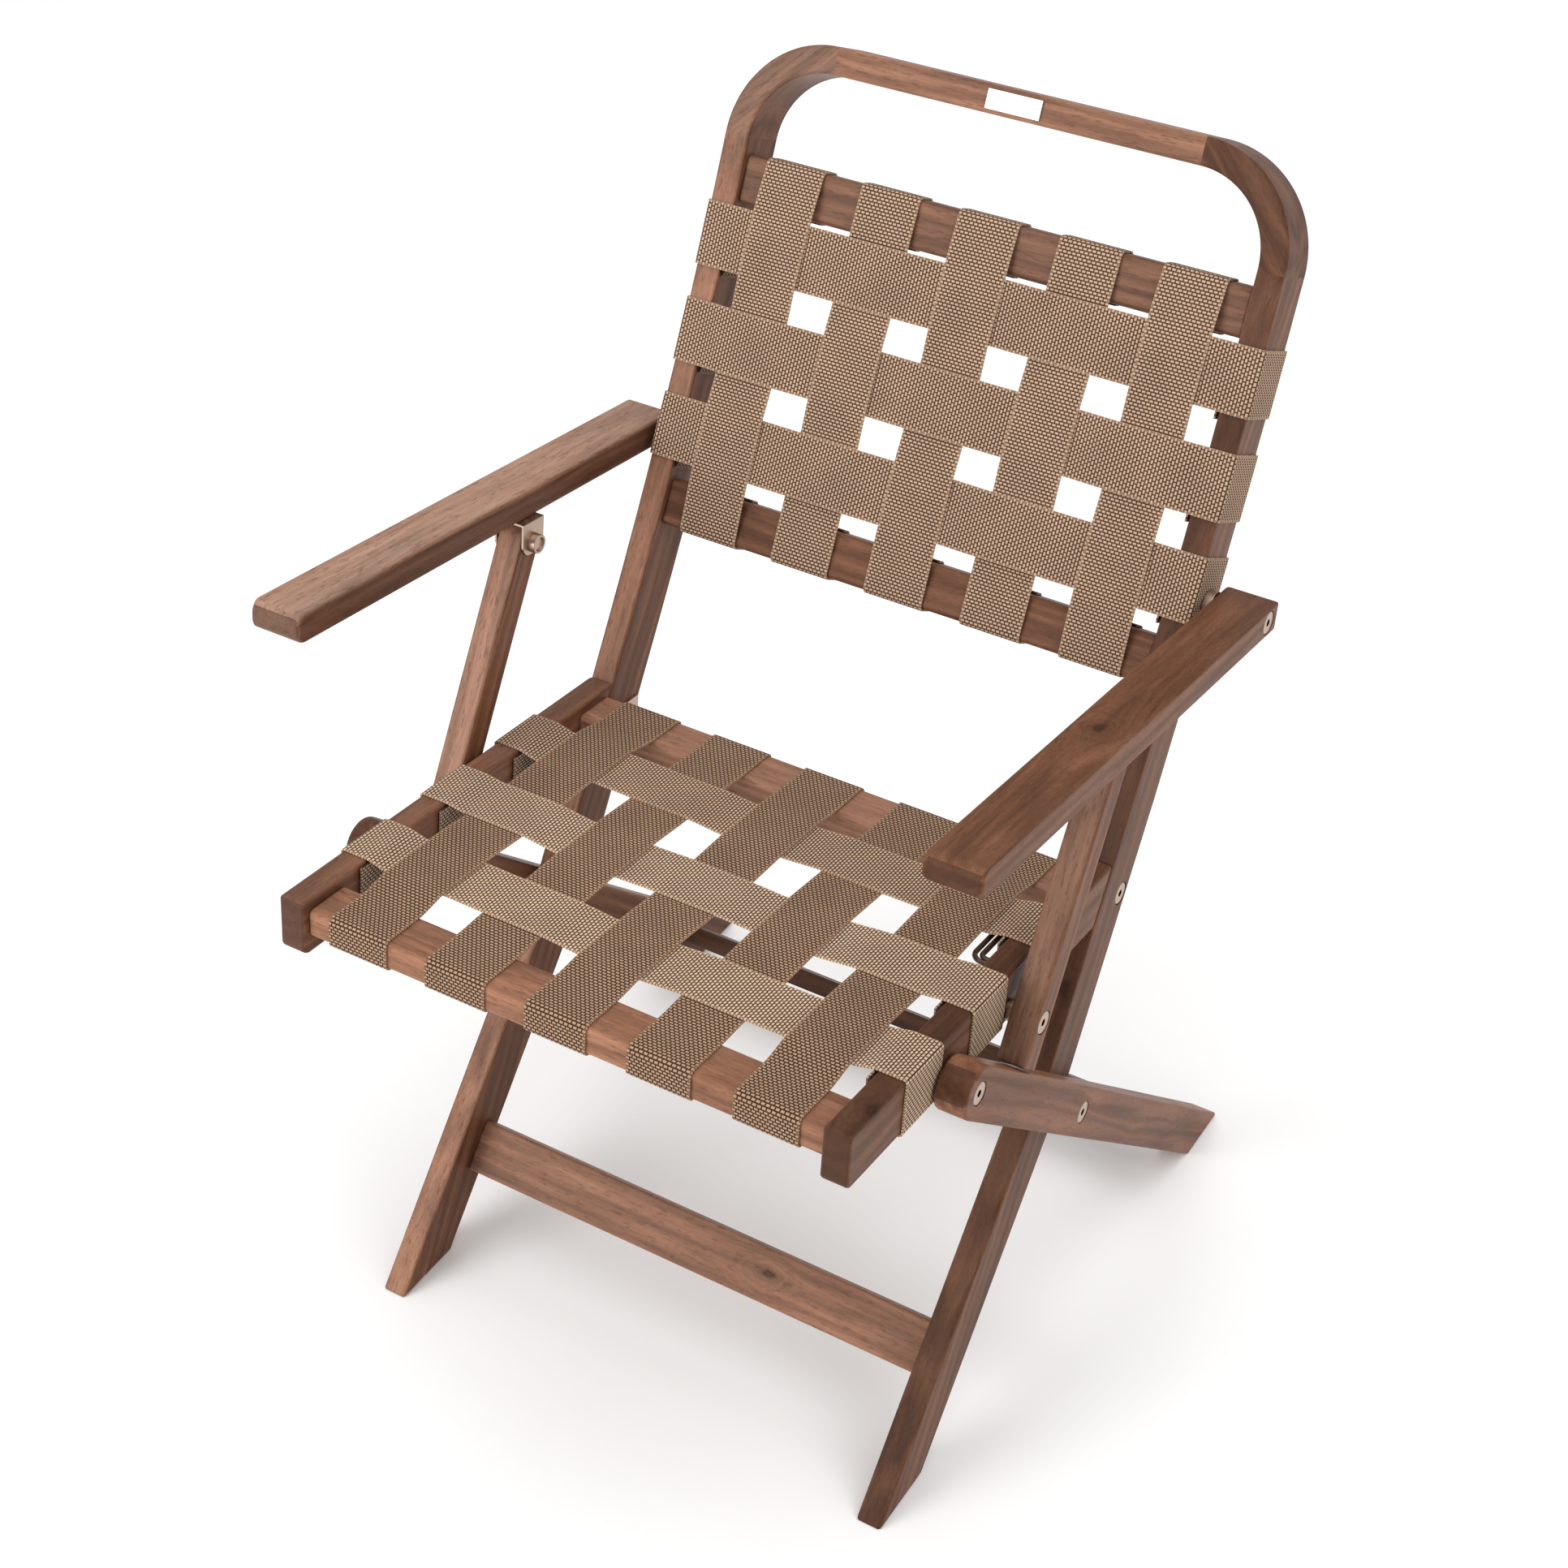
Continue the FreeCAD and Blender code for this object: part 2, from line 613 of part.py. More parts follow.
def band_path(band, low, high, tail, middle):
    # Path across the chair, (x, height): tail inside the board, round it, then the weave.
    inner = stile_inner - webbing
    outer = stile_outer + webbing
    wrap = [(-inner, tail), (-inner, low), (-outer, low), (-outer, high), (-inner, high)]
    path = list(wrap)
    for strap, place in enumerate(strap_places):
        height = middle - strap_side(strap, band) * weave
        path += [(place - cross_half, height), (place + cross_half, height)]
    path += [(-across, height) for across, height in reversed(wrap)]
    bends = [0, webbing, webbing, webbing, 0]
    return path, bends + [0] * (2 * strap_count) + bends[::-1]


def crosswise_band(label, path, radii, base, angle):
    body = new_body(label)
    sketch = add_sketch(body, label + "_outline", "XY_Plane", ribbon(path, radii))
    add_pad(body, sketch, "sizes.strap_width")
    turn = FreeCAD.Rotation(FreeCAD.Vector(1, 0, 0), angle)
    body.Placement = FreeCAD.Placement(FreeCAD.Vector(0, *base), turn)
    return body


for band, drop in enumerate(band_drops):
    distance = joint_distance - drop
    angle = stile_angle(distance)
    on_run = line_point(lower_wrap[3], back_run, run_reach(drop))
    middle = dot(add(on_run, scale(stile_point(distance), -1)), polar(angle + 90))
    wrap_depth = half_depth + webbing
    path, radii = band_path(band, -wrap_depth, wrap_depth, 0, middle)
    base = line_point(stile_point(distance), angle, size("strap_width") / 2)
    label = f"back_band_{band + 1}"
    strip = crosswise_band(label + "_strip", path, radii, base, angle + 90)
    eyelets = fuse(label + "_eyelets", [
        rod(f"{label}_{name}_eyelet", "sizes.bolt_radius + sizes.eyelet_room", side,
            stile_inner - 2 * webbing, stile_outer + 2 * webbing, arm_bolt) for name, side in sides])
    keep(label, cut(label, strip, eyelets))

seat_weave = -size("cross_rail_drop") + webbing
rear_edge = rear_rail_along + size("cross_rail_depth")
rail_bottom = size("cross_rail_drop") + size("cross_rail_height") + webbing
strap_tail = size("cross_rail_depth") - size("edge_radius")

for strap, place in enumerate(strap_places):
    spots = [(front_edge + strap_tail, -rail_bottom), (front_edge - webbing, -rail_bottom),
             (front_edge - webbing, seat_weave),
             (front_rail_rear + webbing, seat_weave)]
    for band in reversed(range(band_count)):
        height = seat_weave + strap_side(strap, band) * weave
        spots += [(seat_bands[band] - cross_half, height), (seat_bands[band] + cross_half, height)]
    spots += [(rear_rail_along - webbing, seat_weave), (rear_edge + webbing, seat_weave),
              (rear_edge + webbing, -rail_bottom), (rear_edge - strap_tail, -rail_bottom)]
    path = [seat_point(along, -height) for along, height in spots]
    bends = [0, corner_bend, corner_bend, 0]
    flat = [0] * (2 * band_count)
    lengthwise_strap(f"seat_strap_{strap + 1}", place, path, bends + flat + bends[::-1])

for band, along in enumerate(seat_bands):
    low = -size("side_rail_height") - webbing
    path, radii = band_path(band, low, webbing, low / 2, seat_weave)
    base = seat_point(along + size("strap_width") / 2)
    label = f"seat_band_{band + 1}"
    keep(label, crosswise_band(label, path, radii, base, 90 - size("seat_tilt")))

# Armrests with a rounded front end.
arm_rear = -size("arm_pivot_inset")
arm_front = size("arm_length") - size("arm_pivot_inset")
arm_corners = [arm_point(arm_rear, half_arm), arm_point(arm_front, half_arm),
               arm_point(arm_front, -half_arm), arm_point(arm_rear, -half_arm)]
arm_edges = rounded(arm_corners, [0, size("arm_tip_radius"), size("arm_tip_radius"), 0])
half_bracket = size("bracket_length") / 2


def ear_outline():
    shoulders = [arm_point(size("strut_reach") + step, -half_arm) for step in (half_bracket, -half_bracket)]
    lobe = [arm_point(size("strut_reach") + step, -half_arm - size("strut_drop") - size("ear_radius"))
            for step in (-half_bracket, half_bracket)]
    return rounded(shoulders + lobe, [0, 0, size("ear_radius"), size("ear_radius")])


def strut_bracket(label, side):
    body = new_body(label)
    base = rectangle(arm_point(size("strut_reach"), -half_arm - size("plate") / 2), arm_angle,
                     size("bracket_length"), size("plate"))
    sketch = add_sketch(body, label + "_base", "YZ_Plane", polygon(base))
    add_pad(body, sketch, "sizes.strut_thickness + 2 * (sizes.side_gap + sizes.plate)")
    for number, lift in enumerate((0, ear_outer - ear_inner - size("plate")), start=1):
        ear = add_sketch(body, f"{label}_ear_{number}", "YZ_Plane", ear_outline(), lift)
        add_circle(ear, bracket_bolt, bore)
        add_pad(body, ear, "sizes.plate")
    start = side_start(side, ear_inner, ear_outer)
    body.Placement = FreeCAD.Placement(FreeCAD.Vector(start, 0, 0), FreeCAD.Rotation())
    return body


for name, side in sides:
    start = side_start(side, arm_inner, arm_outer)
    arm = board(f"{name}_arm", arm_edges, start, "sizes.arm_width", [(arm_bolt, bore)])
    recess_head(arm, f"{name}_arm_recess", side, arm_bolt, size("arm_width"))
    keep(f"{name}_arm", arm)
    keep(f"{name}_strut_bracket", strut_bracket(f"{name}_strut_bracket", side))
    label = f"{name}_bracket_bolt"
    barrel_end = ear_inner - size("barrel_length")
    nut_end = ear_outer + size("plate")
    shank = rod(label + "_shank", "sizes.bolt_radius", side, ear_inner, nut_end, bracket_bolt)
    barrel = rod(label + "_barrel", "sizes.barrel_radius", side, barrel_end, ear_inner, bracket_bolt)
    nut = rod(label + "_nut", "sizes.nut_radius", side, ear_outer, nut_end, bracket_bolt)
    keep(label, fuse(label, [shank, barrel, nut]))

# Arm struts: round head in the bracket, foot cut along the rear leg.
half_strut = size("strut_width") / 2
foot_line = line_point(leg_bolt, leg_angle, 0, half_leg + size("strut_foot_gap"))


def strut_outline():
    front = line_point(bracket_bolt, strut_angle, 0, half_strut)
    rear = line_point(bracket_bolt, strut_angle, 0, -half_strut)
    crown = line_point(bracket_bolt, strut_angle, half_strut)
    front_foot = meet(front, strut_angle, foot_line, leg_angle)
    rear_foot = meet(rear, strut_angle, foot_line, leg_angle)
    return [Part.ArcOfCircle(vector(front), vector(crown), vector(rear)),
            Part.LineSegment(vector(rear), vector(rear_foot)),
            Part.LineSegment(vector(rear_foot), vector(front_foot)),
            Part.LineSegment(vector(front_foot), vector(front))]


for name, side in sides:
    start = side_start(side, strut_inner, strut_outer)
    strut = board(f"{name}_strut", strut_outline(), start, "sizes.strut_thickness",
                  [(bracket_bolt, bore), (strut_bolt, bore)])
    recess_head(strut, f"{name}_strut_recess", side, strut_bolt, size("strut_thickness"))
    keep(f"{name}_strut", strut)
    label = f"{name}_strut_bolt"
    keep(label, headed_bolt(label, side, strut_inner, strut_outer, strut_bolt))

# Bolts, spacers and bosses.
keep("crossing_bolts", group("crossing_bolts", [
    headed_bolt(f"{name}_crossing_bolt", side, stile_inner, leg_outer, crossing) for name, side in sides]))
washer_end = leg_inner - size("side_gap")
keep("crossing_washers", group("crossing_washers", [
    ring(f"{name}_crossing_washer", "sizes.washer_radius", side, stile_outer, washer_end, crossing)
    for name, side in sides]))
keep("arm_bolts", group("arm_bolts", [
    headed_bolt(f"{name}_arm_bolt", side, stile_inner, arm_outer, arm_bolt) for name, side in sides]))
keep("arm_spacers", group("arm_spacers", [
    ring(f"{name}_arm_spacer", "sizes.spacer_radius", side, stile_outer + 2 * webbing,
         arm_inner - size("side_gap"), arm_bolt) for name, side in sides]))
keep("leg_bolts", group("leg_bolts", [
    headed_bolt(f"{name}_leg_bolt", side, stile_inner, leg_outer, leg_bolt) for name, side in sides]))
keep("leg_washers", group("leg_washers", [
    ring(f"{name}_leg_washer", "sizes.washer_radius", side, stile_outer, washer_end, leg_bolt)
    for name, side in sides]))
boss_end = strut_inner - size("side_gap")
keep("strut_bosses", group("strut_bosses", [
    fuse(f"{name}_strut_boss", [
        rod(f"{name}_boss_disc", "sizes.boss_radius", side, stile_outer, boss_end, strut_bolt),
        rod(f"{name}_boss_stem", "sizes.bolt_radius", side, stile_inner, stile_outer, strut_bolt)])
    for name, side in sides]))

# Seat rests: a flange bolted inside each stile, with a tongue under the rear rail.
tongue_depth = size("cross_rail_drop") + size("cross_rail_height") + size("side_gap") + size("plate") / 2
tongue_front = seat_along(rest_bolt) - size("rest_reach")
tongue_rear = seat_along(rest_bolt) - size("nut_radius") - size("plate")


def seat_rest(label, side):
    body = new_body(label)
    inner = stile_inner - size("plate") - size("rest_tongue")
    flange = rectangle(rest_bolt, -size("seat_tilt"), size("rest_flange"), size("rest_flange"))
    lift = size("rest_tongue") if side > 0 else 0
    sketch = add_sketch(body, label + "_flange", "YZ_Plane", polygon(flange), lift)
    add_circle(sketch, rest_bolt, bore)
    add_pad(body, sketch, "sizes.plate")
    middle = seat_point((tongue_front + tongue_rear) / 2, tongue_depth)
    tongue = rectangle(middle, -size("seat_tilt"), tongue_rear - tongue_front, size("plate"))
    lift = 0 if side > 0 else size("plate")
    tongue_sketch = add_sketch(body, label + "_tongue", "YZ_Plane", polygon(tongue), lift)
    add_pad(body, tongue_sketch, "sizes.rest_tongue")
    start = side_start(side, inner, stile_inner)
    body.Placement = FreeCAD.Placement(FreeCAD.Vector(start, 0, 0), FreeCAD.Rotation())
    return body


keep("seat_rests", group("seat_rests", [seat_rest(f"{name}_seat_rest", side) for name, side in sides]))
nut_face = stile_inner - size("plate")
nut_end = nut_face - size("nut_length")
keep("rest_bolts", group("rest_bolts", [
    headed_bolt(f"{name}_rest_bolt", side, nut_face, stile_outer, rest_bolt, [
        rod(f"{name}_rest_nut", "sizes.nut_radius", side, nut_end, nut_face, rest_bolt)])
    for name, side in sides]))


# Carrying hook: a wire loop in the inner face of the right side rail.
def hook_shape():
    high = seat_point(hook_along, size("hook_drop"))
    low = seat_point(hook_along, size("hook_drop") + size("hook_height"))
    bend = size("hook_height") / 2
    straight = stile_inner - size("hook_reach") + bend
    middle = seat_point(hook_along, size("hook_drop") + bend)
    corners = [FreeCAD.Vector(stile_inner, *high), FreeCAD.Vector(straight, *high),
               FreeCAD.Vector(straight - bend, *middle), FreeCAD.Vector(straight, *low),
               FreeCAD.Vector(stile_inner, *low)]
    path = Part.Wire([Part.LineSegment(corners[0], corners[1]).toShape(),
                      Part.Arc(*corners[1:4]).toShape(),
                      Part.LineSegment(corners[3], corners[4]).toShape()])
    section = Part.Circle(corners[0], FreeCAD.Vector(-1, 0, 0), size("hook_radius")).toShape()
    return path.makePipeShell([Part.Wire([section])], True, False)


hook = doc.addObject("Part::Feature", "carrying_hook")
hook.Shape = hook_shape()
keep("carrying_hook", hook)

doc.recompute()
for item in doc.Objects:
    if "Invalid" in item.State or "Error" in item.State:
        raise RuntimeError(f"{item.Label} failed: {item.State}")
for label, piece in nodes.items():
    if piece.Shape.isNull() or not piece.Shape.isValid() or not piece.Shape.Solids:
        raise RuntimeError(f"{label} has no valid solid")

os.makedirs("parts", exist_ok=True)
for label, piece in nodes.items():
    piece.Shape.exportStep(f"parts/{label}.step")
print(f"{len(nodes)} nodes written")
for title, place in (("crossing", crossing), ("leg bolt", leg_bolt), ("strut bolt", strut_bolt),
                     ("arm bolt", arm_bolt), ("bracket bolt", bracket_bolt), ("rest bolt", rest_bolt)):
    print(f"{title}: y {place[0]:.3f}, z {place[1]:.3f}")
print("seat bands:", [round(along, 2) for along in seat_bands], "rear rail:", round(rear_rail_along, 2))
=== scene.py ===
import bpy
import math
import numpy as np
from mathutils import Matrix, Vector


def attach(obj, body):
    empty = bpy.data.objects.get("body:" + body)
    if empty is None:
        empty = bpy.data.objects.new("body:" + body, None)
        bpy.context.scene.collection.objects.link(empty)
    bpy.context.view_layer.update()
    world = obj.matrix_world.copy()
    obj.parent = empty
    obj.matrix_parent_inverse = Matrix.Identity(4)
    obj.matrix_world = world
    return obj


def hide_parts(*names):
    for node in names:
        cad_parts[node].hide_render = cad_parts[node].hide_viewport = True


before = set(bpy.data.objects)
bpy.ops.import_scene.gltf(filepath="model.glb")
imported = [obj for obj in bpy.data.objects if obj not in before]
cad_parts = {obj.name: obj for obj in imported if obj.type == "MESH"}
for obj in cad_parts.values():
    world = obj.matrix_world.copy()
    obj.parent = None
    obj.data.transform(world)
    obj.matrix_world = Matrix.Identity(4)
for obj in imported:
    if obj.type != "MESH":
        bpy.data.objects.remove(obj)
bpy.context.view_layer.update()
bpy.ops.object.select_all(action="DESELECT")
print("frame loaded:", len(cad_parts), "nodes")


# small helpers
def linear(hexText):
    # sRGB hex to the linear colour that a socket wants
    parts = [int(hexText[i:i + 2], 16) / 255 for i in (1, 3, 5)]
    return tuple(c / 12.92 if c <= 0.04045 else ((c + 0.055) / 1.055) ** 2.4 for c in parts) + (1.0,)


def addNode(tree, kind, settings=None, values=None, links=None):
    node = tree.nodes.new(kind)
    for name, value in (settings or {}).items():
        setattr(node, name, value)
    for socket, value in (values or {}).items():
        node.inputs[socket].default_value = value
    for socket, source in (links or {}).items():
        tree.links.new(source, node.inputs[socket])
    return node


def newMaterial(name):
    material = bpy.data.materials.new(name)
    material.use_nodes = True
    material.node_tree.nodes.clear()
    return material, material.node_tree


def setRamp(node, stops):
    ramp = node.color_ramp
    while len(ramp.elements) < len(stops):
        ramp.elements.new(0.5)
    for element, (place, colour) in zip(ramp.elements, stops):
        element.position = place
        element.color = colour


def perMm(along, across):
    # pattern scale from real sizes in mm, grain space is in metres
    return (1000 / along, 1000 / across, 1000 / across)


def pick(obj):
    bpy.ops.object.select_all(action="DESELECT")
    obj.select_set(True)
    bpy.context.view_layer.objects.active = obj


def finishPiece(obj, name, body, material):
    obj.name = name
    obj.data.name = name
    obj.data.materials.clear()
    obj.data.materials.append(material)
    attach(obj, body)


# camera, worked out from the chair's level and parallel edges in a 1932 x 1932 picture
cameraView = {
    "place": (0.85864, -1.45243, 1.70805),
    "azimuth": 31.15,
    "elevation": 37.21,
    "roll": 0.22,
    "focalPixels": 3485.9,
    "pictureWidth": 1932,
    "sensorMm": 36,
}
turn = math.radians(cameraView["azimuth"])
tilt = math.radians(cameraView["elevation"])
roll = math.radians(cameraView["roll"])
backward = Vector((math.sin(turn) * math.cos(tilt), -math.cos(turn) * math.cos(tilt), math.sin(tilt)))
level = Vector((math.cos(turn), math.sin(turn), 0))
upward = level.cross(-backward)
rightAxis = level * math.cos(roll) + upward * math.sin(roll)
upAxis = upward * math.cos(roll) - level * math.sin(roll)
bpy.ops.object.camera_add()
camera = bpy.context.object
camera.name = "photoCamera"
camera.data.sensor_width = cameraView["sensorMm"]
camera.data.lens = cameraView["sensorMm"] * cameraView["focalPixels"] / cameraView["pictureWidth"]
cameraTurn = Matrix((rightAxis, upAxis, backward)).transposed()
camera.matrix_world = Matrix.Translation(cameraView["place"]) @ cameraTurn.to_4x4()
bpy.context.scene.camera = camera

# soft studio light: a wide box overhead, a key low in front on the left, a weak box on the right
studio = {
    "keyPlace": (-1.7, -2.7, 1.5), "keyAim": (0, 0, 0.5), "keySize": 2.0, "keyWatts": 56,
    "topPlace": (0.2, 0.9, 4.6), "topAim": (0.2, 0.9, 0), "topSize": 6.0, "topWatts": 135,
    "sidePlace": (2.8, -0.5, 2.3), "sideAim": (0, 0, 0.45), "sideSize": 1.8, "sideWatts": 18,
    "worldTone": "#ffffff", "worldStrength": 0.62,
    "floorTone": "#fdfdfd",
}
for lamp in ("key", "top", "side"):
    bpy.ops.object.light_add(type="AREA", location=studio[lamp + "Place"])
    light = bpy.context.object
    light.name = lamp + "Light"
    light.data.size = studio[lamp + "Size"]
    light.data.energy = studio[lamp + "Watts"]
    aim = Vector(studio[lamp + "Aim"]) - Vector(studio[lamp + "Place"])
    light.rotation_euler = aim.to_track_quat("-Z", "Y").to_euler()
world = bpy.data.worlds.new("studioWorld")
bpy.context.scene.world = world
world.use_nodes = True
world.node_tree.nodes["Background"].inputs["Color"].default_value = linear(studio["worldTone"])
world.node_tree.nodes["Background"].inputs["Strength"].default_value = studio["worldStrength"]
bpy.context.scene.view_settings.view_transform = "Standard"

floorPaper, tree = newMaterial("matt white studio paper")  # no shine, only soft contact shadows
shader = addNode(tree, "ShaderNodeBsdfPrincipled", None, {
    "Base Color": linear(studio["floorTone"]), "Roughness": 1.0, "Specular IOR Level": 0.0})
addNode(tree, "ShaderNodeOutputMaterial", None, None, {"Surface": shader.outputs["BSDF"]})
bpy.ops.mesh.primitive_plane_add(size=24, location=(0, 0, -0.0005))
floor = bpy.context.object
floor.name = "studioFloor"
floor.data.materials.append(floorPaper)
print("camera, light and floor ready")

# acacia stained walnut brown and oiled: satin, fine pores along the grain, soft dark figure,
# a pale greyish veil on faces that do not look sideways, part bleached stain and part painted sheen,
# darker end grain. "grain" is board space in metres, its x along the fibres and its zero at the board's
# knot;
# "tone" makes one board lighter than another, partly its own stain and partly painted light and shade.
# Real pores are near 0.3 mm wide, too fine to show, so fibreMm draws them coarser.
acacia = {
    "deep": "#40271a", "dark": "#583826", "mid": "#6b4632", "light": "#7c543e", "pale": "#9a6f53",
    "endGrain": "#4a2f21", "pore": "#38221a", "knot": "#2a1810",
    "figureMm": (220, 26), "figure": {"Detail": 4.0, "Roughness": 0.55, "Distortion": 0.7},
    "streakMm": (80, 4.0), "streak": {"Detail": 3.0, "Roughness": 0.6},
    "fibreMm": (12, 1.9), "fibre": {"Detail": 2.0, "Roughness": 0.7}, "ringMm": 14, "ringStretch": 22,
    "knotMm": 12, "knotCoreMm": 3.2, "knotRingMm": 4.5, "knotSqueeze": (0.5, 1, 0.6),
    "wobblePerMetre": 90.0, "wobbleReach": 0.008,
    "figureShare": 0.40, "streakShare": 0.26, "fibreShare": 0.24, "ringShare": 0.10,
    "stainStops": (("deep", 0.28), ("dark", 0.41), ("mid", 0.50), ("light", 0.59), ("pale", 0.74)),
    "poreFrom": 0.52, "poreTo": 0.68, "poreDepth": 0.5, "endShare": 0.7,
    # the pale grey below is part bleached stain and part painted sheen
    "roughness": 0.42, "specular": 0.22, "ior": 1.34, "bleachedAndSheen": "#b39a8a",
}
oiledAcacia, tree = newMaterial("walnut stained oiled acacia")
grain = addNode(tree, "ShaderNodeAttribute", {"attribute_name": "grain"}).outputs["Vector"]
stainAndLight = addNode(tree, "ShaderNodeAttribute", {"attribute_name": "stainAndLight"}).outputs["Fac"]
endFace = addNode(tree, "ShaderNodeAttribute", {"attribute_name": "endGrain"}).outputs["Fac"]
# fibres flow round the knot at the origin of grain space
squeezed = addNode(tree, "ShaderNodeVectorMath", {"operation": "MULTIPLY"}, {1: acacia["knotSqueeze"]},
                   {0: grain})
wobble = addNode(tree, "ShaderNodeTexNoise", None, {"Scale": acacia["wobblePerMetre"], "Detail": 2.0},
                 {"Vector": grain})
knotRange = addNode(tree, "ShaderNodeVectorMath", {"operation": "LENGTH"}, None, {0: squeezed.outputs[0]})
wobbled = addNode(tree, "ShaderNodeMath", {"operation": "MULTIPLY_ADD"}, {1: acacia["wobbleReach"]},
                  {0: wobble.outputs["Fac"], 2: knotRange.outputs["Value"]})
knotShare = addNode(tree, "ShaderNodeMath", {"operation": "DIVIDE"}, {1: acacia["knotMm"] / 1000},
                    {0: wobbled.outputs[0]})
knotSquare = addNode(tree, "ShaderNodeMath", {"operation": "MULTIPLY_ADD"}, {2: 1.0},
                     {0: knotShare.outputs[0], 1: knotShare.outputs[0]})
knotPull = addNode(tree, "ShaderNodeMath", {"operation": "DIVIDE"}, {0: 1.0}, {1: knotSquare.outputs[0]})
towardKnot = addNode(tree, "ShaderNodeVectorMath", {"operation": "MULTIPLY"}, {1: (0, -1, -1)}, {0: grain})
flow = addNode(tree, "ShaderNodeVectorMath", {"operation": "SCALE"}, None,
               {0: towardKnot.outputs[0], "Scale": knotPull.outputs[0]})
bent = addNode(tree, "ShaderNodeVectorMath", {"operation": "ADD"}, None, {0: grain, 1: flow.outputs[0]})
bent = bent.outputs[0]
patterns = {}
for name in ("figure", "streak", "fibre"):
    space = addNode(tree, "ShaderNodeVectorMath", {"operation": "MULTIPLY"},
                    {1: perMm(*acacia[name + "Mm"])}, {0: bent})
    patterns[name] = addNode(tree, "ShaderNodeTexNoise", None, {"Scale": 1.0, **acacia[name]},
                             {"Vector": space.outputs[0]})
figure, streak, fibre = patterns.values()
ringSpace = addNode(tree, "ShaderNodeVectorMath", {"operation": "MULTIPLY"},
                    {1: perMm(acacia["ringMm"] * acacia["ringStretch"], acacia["ringMm"])}, {0: bent})
ringBend = addNode(tree, "ShaderNodeVectorMath", {"operation": "MULTIPLY_ADD"}, {1: (0, 2.2, 0)},
                   {0: figure.outputs["Color"], 2: ringSpace.outputs[0]})
rings = addNode(tree, "ShaderNodeTexWave",
                {"wave_type": "BANDS", "bands_direction": "Y", "wave_profile": "SIN"},
                {"Scale": 0.32, "Distortion": 2.5, "Detail": 2.0, "Detail Scale": 1.0},
                {"Vector": ringBend.outputs[0]})
mixed = addNode(tree, "ShaderNodeMath", {"operation": "MULTIPLY"}, {1: acacia["figureShare"]},
                {0: figure.outputs["Fac"]})
for pattern, share in ((streak, "streakShare"), (fibre, "fibreShare"), (rings, "ringShare")):
    mixed = addNode(tree, "ShaderNodeMath", {"operation": "MULTIPLY_ADD"}, {1: acacia[share]},
                    {0: pattern.outputs["Fac"], 2: mixed.outputs[0]})
stain = addNode(tree, "ShaderNodeValToRGB", None, None, {"Fac": mixed.outputs[0]})
setRamp(stain, [(place, linear(acacia[name])) for name, place in acacia["stainStops"]])
# painted light and shade: the board's tone scales the colour, part stain and part light painted in
wood = addNode(tree, "ShaderNodeVectorMath", {"operation": "SCALE"}, None,
               {0: stain.outputs["Color"], "Scale": stainAndLight})
# painted sheen: a pale greyish veil along the streaks where the bleach is set, part bleached stain
bleachAndSheen = addNode(tree, "ShaderNodeAttribute", {"attribute_name": "bleachAndSheen"}).outputs["Fac"]
bleachAndSheenShare = addNode(tree, "ShaderNodeMath", {"operation": "MULTIPLY", "use_clamp": True}, None,
                      {0: bleachAndSheen, 1: streak.outputs["Fac"]})
wood = addNode(tree, "ShaderNodeMix", {"data_type": "RGBA"}, {7: linear(acacia["bleachedAndSheen"])},
               {0: bleachAndSheenShare.outputs[0], 6: wood.outputs[0]})
poreMask = addNode(tree, "ShaderNodeMapRange", None,
                   {"From Min": acacia["poreFrom"], "From Max": acacia["poreTo"],
                    "To Min": 0.0, "To Max": acacia["poreDepth"]},
                   {"Value": fibre.outputs["Fac"]})
knotMask = addNode(tree, "ShaderNodeMapRange", {"interpolation_type": "SMOOTHSTEP"},
                   {"From Min": 0.004, "From Max": 0.004 + 2 * acacia["knotCoreMm"] / 1000,
                    "To Min": 0.62, "To Max": 0.0}, {"Value": wobbled.outputs[0]})
knotTurns = addNode(tree, "ShaderNodeMath", {"operation": "MULTIPLY"}, {1: 6283 / acacia["knotRingMm"]},
                    {0: wobbled.outputs[0]})
knotRings = addNode(tree, "ShaderNodeMath", {"operation": "SINE"}, None, {0: knotTurns.outputs[0]})
knotFade = addNode(tree, "ShaderNodeMapRange", None,
                   {"From Min": 0.006, "From Max": 0.026, "To Min": 0.22, "To Max": 0.0},
                   {"Value": wobbled.outputs[0]})
knotLines = addNode(tree, "ShaderNodeMath", {"operation": "MULTIPLY", "use_clamp": True}, None,
                    {0: knotRings.outputs[0], 1: knotFade.outputs[0]})
knotMask = addNode(tree, "ShaderNodeMath", {"operation": "ADD", "use_clamp": True}, None,
                   {0: knotMask.outputs[0], 1: knotLines.outputs[0]})
endMask = addNode(tree, "ShaderNodeMath", {"operation": "MULTIPLY"}, {1: acacia["endShare"]}, {0: endFace})
for mask, name in ((poreMask, "pore"), (knotMask, "knot"), (endMask, "endGrain")):
    wood = addNode(tree, "ShaderNodeMix", {"data_type": "RGBA"}, {7: linear(acacia[name])},
                   {0: mask.outputs[0], 6: wood.outputs[2]})
polish = addNode(tree, "ShaderNodeMapRange", None,
                 {"From Min": 0.3, "From Max": 0.7, "To Min": acacia["roughness"] - 0.07,
                  "To Max": acacia["roughness"] + 0.1}, {"Value": streak.outputs["Fac"]})
poreRelief = addNode(tree, "ShaderNodeMath", {"operation": "MULTIPLY_ADD"}, {1: -0.8},
                     {0: poreMask.outputs[0], 2: streak.outputs["Fac"]})
bump = addNode(tree, "ShaderNodeBump", None, {"Strength": 0.25, "Distance": 0.0004},
               {"Height": poreRelief.outputs[0]})
shader = addNode(tree, "ShaderNodeBsdfPrincipled", None,
                 {"Specular IOR Level": acacia["specular"], "IOR": acacia["ior"]}, {
    "Base Color": wood.outputs[2], "Roughness": polish.outputs[0], "Normal": bump.outputs["Normal"]})
addNode(tree, "ShaderNodeOutputMaterial", None, None, {"Surface": shader.outputs["BSDF"]})
